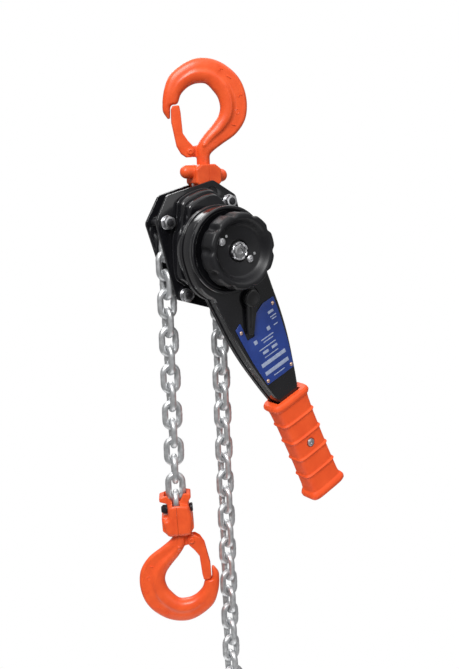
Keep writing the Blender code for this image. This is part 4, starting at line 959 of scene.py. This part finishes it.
def name_plate():
    face = FRONT_SHELL_Z[1] + 0.3
    sheet = plate("name_plate_sheet", [rounded(NAME_PLATE, 1.0, 3)], face, face + 0.8, 0.2)
    piece("name_plate_sheet", sheet, LEVER, "lever", "blue_plate", "name_plate")
    bars = []
    for x, y, width, height in PRINT_BLOCKS:
        outline = oblong(width, height, 0.4, 2, (x, y))
        bars.append(plate("bar", [outline], face + 0.7, face + 0.92, 0.05, 1))
    piece("name_plate_blocks", together("name_plate_blocks", *bars), LEVER, "lever", "blue_plate",
          material=PLATE_PRINT)
    for number, centre in enumerate(PLATE_RIVETS, 1):
        dome = turned("rivet", ((0, face + 0.5), (2.1, face + 0.5), (2.1, face + 1.0), (1.7, face + 1.7),
                                (0.9, face + 2.1), (0, face + 2.2)), (*centre, 0), steps=28)
        piece("name_plate_rivet_%d" % number, dome, LEVER, "lever", "bare_steel", material=COPPER_RIVET)


def selector():
    face = FRONT_SHELL_Z[1] + 1.4
    half = [(7.5, 2), (6.2, -12), (4.2, -34), (3.2, -39)]
    half_rib = [(2.2, 0), (1.8, -14), (1.1, -32)]
    arm = spun(rounded(mirrored(half), 0.8, 3), SELECTOR_ANGLE, SELECTOR_HUB)
    rib = spun(rounded(mirrored(half_rib), 0.5, 3), SELECTOR_ANGLE, SELECTOR_HUB)
    boss = ((0, face), (9.4, face), (9.6, face + 0.6), (9.2, face + 4.6), (8.4, face + 5.6),
            (7.2, face + 6.0), (6.0, face + 5.6), (0, face + 5.5))
    body = together(
        "selector_moulding", plate("arm", [arm], face + 0.6, face + 4.2, 0.8, 4),
        plate("rib", [rib], face + 3.0, face + 5.2, 0.4, 3),
        turned("boss", boss, (*SELECTOR_HUB, 0), steps=64),
        rod("shaft", 4.0, 57.5, face + 3, (*SELECTOR_HUB, 0)))
    piece("selector_moulding", body, LEVER, "selector", "black_moulding", "selector_lever")


# ---------------------------------------------------------------- chains

WIRE = 3.55
LINK_PITCH = 21.0
BEND = 8.0
STRAIGHT = LINK_PITCH / 2 + WIRE - BEND


def link_mesh():
    """One welded link: two half circles and two straights, with a slight swell at the weld."""
    path = []
    for end in (1, -1):
        for k in range(13):
            angle = math.pi * k / 12 + (0 if end > 0 else math.pi)
            path.append(((BEND * math.cos(angle), end * STRAIGHT + BEND * math.sin(angle)),
                         (math.cos(angle), math.sin(angle)), 0.0))
        side = -end
        for k in range(1, 8):
            y = end * STRAIGHT * (1 - 2 * k / 8)
            swell = 0.3 * math.exp(-(y / 1.6) ** 2) if side > 0 else 0.0
            path.append(((side * BEND, y), (side, 0.0), swell))
    rings = []
    for (x, y), (nx, ny), swell in path:
        radius = WIRE + swell
        rings.append([(x + nx * radius * math.cos(a), y + ny * radius * math.cos(a), radius * math.sin(a))
                      for a in around(18)])
    return skin("chain_link", rings, closed=True, sharp=80)


def chain(name, stations, body, node):
    """Place a link at each (x, y, direction, twist) station; the first stands for the CAD run."""
    for index, (x, y, direction, twist) in enumerate(stations, 1):
        axes = HOIST @ shift(x, y) @ turn(direction) @ turn(twist, "Y")
        piece("%s_link_%d" % (name, index), LINK, axes, body, "zinc_steel", node if index == 1 else ())


def fall(x, top, links, last_twist=0.0):
    return [(x, top - LINK_PITCH * i, 0.0, 90.0 * (i % 2) + last_twist * i / (links - 1))
            for i in range(links)]


FALL_X = 33.5
SLACK_TOP = -28.1
SLACK_LINKS = 24


def chains():
    chain("load_chain", fall(-FALL_X, -17.9, 14, -30.0), "load_chain", "load_chain")
    chain("slack_chain", fall(FALL_X, SLACK_TOP, SLACK_LINKS), "slack_chain", "slack_chain")
    wrap_radius = LINK_PITCH / 2 / math.tan(math.pi / 10)
    wrap = []
    for index in range(4):
        degrees = 180 - 3.2 - 36 * index
        angle = math.radians(degrees)
        wrap.append((wrap_radius * math.cos(angle), wrap_radius * math.sin(angle), degrees,
                     90.0 * (1 - index % 2)))
    chain("sheave_chain", wrap, "frame", "chain_over_sheave")


def end_ring():
    wire, radius = 3.6, 13.0
    last = SLACK_TOP - LINK_PITCH * (SLACK_LINKS - 1)
    centre_y = last - LINK_PITCH / 2 + wire + 0.3 - radius
    ring = turned("chain_end_loop", [(radius + wire * math.cos(a), wire * math.sin(a)) for a in around(16)],
                  (FALL_X, centre_y, 0), steps=64, sharp=80)
    piece("chain_end_loop", ring, HOIST, "slack_chain", "zinc_steel", "chain_end_ring")


# ---------------------------------------------------------------- bottom block

BOTTOM_YOKE = ((-17.6, -7.0), (-10.0, -6.2), (-10.0, 9.0), (-18.5, 12.0), (-18.5, 16.5), (-9.5, 19.0),
               (-4.3, 10.5), (4.3, 10.5), (9.5, 20.0), (17.5, 18.5), (17.5, 14.5), (14.0, 9.0),
               (15.0, -5.5), (18.2, -9.0), (18.2, -22.0), (13.0, -30.4), (-10.0, -30.4), (-17.6, -23.0))
BOTTOM_DEPTH = 11.5
BOTTOM_APEX = -110.7
PIN_RADIUS = 4.0


def bottom_yoke():
    outline = rounded(BOTTOM_YOKE, 1.2, 3)
    core = [(-9.4, 5), (-5.0, 8), (5.0, 8), (14.0, 6), (17.6, -10), (14.0, -29), (-12.5, -29),
            (-17.0, -10), (-9.4, -8)]
    whole = cast("bottom_yoke", [
        plate("block", [outline], -BOTTOM_DEPTH + 1.6, BOTTOM_DEPTH - 1.6, 1.0),
        plate("core", [rounded(core, 4, 6)], -BOTTOM_DEPTH - 3.4, BOTTOM_DEPTH + 3.4, 4.2, 6),
    ], voxel=0.6, passes=10)
    head_low, head_high = (BOTTOM_APEX - level for level in reversed(HEAD_SPAN))
    cuts = [block("link_room", (-4.2, -14.8, -13.3), (4.2, 40, 13.3)),
            block("next_link_room", (-13.0, 7.6, -8.5), (13.0, 40, 8.5)),
            rod("shank_hole", SHANK_RADIUS + 0.6, -60, head_low + 1, axis="y"),
            rod("head_room", 10.4, head_low - 0.4, head_high + 0.4, axis="y"),
            rod("pin_hole", PIN_RADIUS + 0.3, -30, 30, axis="x"),
            block("nut_room", (-20, -6.4, -6.6), (-10.1, 6.4, 6.6))]
    whole = combined(whole, cuts, sharp=50)
    split_yoke("bottom_yoke", whole, BOTTOM_BLOCK, 0.0)
    bolt = stud_profile(PIN_RADIUS, -15.5, 17.5, threaded=6.0)
    pin = turned("pin", [(r, -z) for r, z in reversed(bolt)], axis="x", steps=36)
    head = turned("head", washer_profile(0.5, 5.0, 15.3, 18.6, 0.7), axis="x", steps=36)
    piece("chain_pin_bolt", together("chain_pin_bolt", pin, head), BOTTOM_BLOCK, "bottom_yoke",
          "bare_steel", "chain_pin", DARK_BOLT)
    washer = turned("washer", washer_profile(PIN_RADIUS + 0.2, 5.6, -11.4, -10.3), axis="x")
    nut = hex_nut("pin_hex", 9.7, PIN_RADIUS + 0.05, -15.8, -11.5, axis="x")
    piece("chain_pin_nut_stack", together("chain_pin_nut_stack", washer, nut), BOTTOM_BLOCK,
          "bottom_yoke", "zinc_steel", "chain_pin_nut", DARK_BOLT)


# ---------------------------------------------------------------- build

make_hook("top", TOP_HOOK, "top_latch")
top_yoke()
side_plates()
stay_bolts()
brake_cover()
gear_case()
chain_guides()
hand_wheel()
lever_shells()
grip()
name_plate()
selector()
LINK = link_mesh()
chains()
end_ring()
bottom_yoke()
make_hook("bottom", BOTTOM_HOOK, "bottom_latch")


def dress_cad_nodes():
    """Give every CAD node that still shows the material of its slot."""
    for row in frame["record"]["subparts"]:
        node = frame["nodes"][row["node"]]
        node.data.materials.clear()
        node.data.materials.append(FINISHES[row["material_slot"]])


dress_cad_nodes()


# ---------------------------------------------------------------- studio

CAMERA_PLACE = (-0.5270, -0.8494, -0.1028)
AZIMUTH = math.radians(-33.1)
ELEVATION = math.radians(9.9)
ROLL = math.radians(-1.94)
LENS = 48.0
FLOOR_Z = -1.60
TARGET = Vector((0.0, 0.0, -0.30))


def camera():
    back = Vector((math.sin(AZIMUTH) * math.cos(ELEVATION), -math.cos(AZIMUTH) * math.cos(ELEVATION),
                   math.sin(ELEVATION)))
    right = Vector((math.cos(AZIMUTH), math.sin(AZIMUTH), 0))
    up = back.cross(right)
    x_axis = right * math.cos(ROLL) + up * math.sin(ROLL)
    y_axis = up * math.cos(ROLL) - right * math.sin(ROLL)
    matrix = Matrix((x_axis, y_axis, back)).transposed().to_4x4()
    matrix.translation = Vector(CAMERA_PLACE)
    data = bpy.data.cameras.new("camera")
    data.lens = LENS
    data.sensor_width = 36.0
    data.clip_end = 60.0
    item = bpy.data.objects.new("camera", data)
    bpy.context.scene.collection.objects.link(item)
    item.matrix_world = matrix
    bpy.context.scene.camera = item


def floor():
    bm = bmesh.new()
    bmesh.ops.create_grid(bm, x_segments=8, y_segments=8, size=0.9)
    mesh = bpy.data.meshes.new("floor")
    bm.to_mesh(mesh)
    bm.free()
    item = bpy.data.objects.new("floor", mesh)
    bpy.context.scene.collection.objects.link(item)
    item.location = (0, 0, FLOOR_Z)
    mesh.materials.append(finish_material("pale_floor", (0.93, 0.93, 0.93), (0.90, 0.90, 0.90),
                                          (0.7, 0.8), patch=2, grain=40, relief=0.01))


def area_light(name, place, size, power):
    data = bpy.data.lights.new(name, "AREA")
    data.shape = "RECTANGLE"
    data.size, data.size_y = size
    data.energy = power
    item = bpy.data.objects.new(name, data)
    bpy.context.scene.collection.objects.link(item)
    item.location = place
    item.rotation_euler = (TARGET - Vector(place)).to_track_quat("-Z", "Y").to_euler()


def overhead():
    """A broad light from straight above, which keeps the floor evenly pale to its edges."""
    data = bpy.data.lights.new("overhead", "SUN")
    data.angle = math.radians(110)
    data.energy = 2.3
    item = bpy.data.objects.new("overhead", data)
    bpy.context.scene.collection.objects.link(item)


def world():
    """White behind the object, and a dimmer white round it, so that the enamel stays dark."""
    sky = bpy.data.worlds.new("studio")
    sky.use_nodes = True
    tree = sky.node_tree
    shown = tree.nodes["Background"]
    shown.inputs["Strength"].default_value = 1.0
    shown.inputs["Color"].default_value = (1, 1, 1, 1)
    lit = tree.nodes.new("ShaderNodeBackground")
    lit.inputs["Strength"].default_value = 0.30
    path = tree.nodes.new("ShaderNodeLightPath")
    mix = tree.nodes.new("ShaderNodeMixShader")
    tree.links.new(path.outputs["Is Camera Ray"], mix.inputs["Fac"])
    tree.links.new(lit.outputs["Background"], mix.inputs[1])
    tree.links.new(shown.outputs["Background"], mix.inputs[2])
    tree.links.new(mix.outputs["Shader"], tree.nodes["World Output"].inputs["Surface"])
    bpy.context.scene.world = sky


camera()
floor()
world()
area_light("key", (-1.6, -1.3, 1.4), (1.2, 0.9), 54)
area_light("fill", (0.5, -2.6, 0.2), (1.4, 1.4), 6)
area_light("back", (0.6, 2.2, 1.2), (1.6, 1.0), 18)
overhead()
bpy.context.scene.view_settings.view_transform = "Standard"
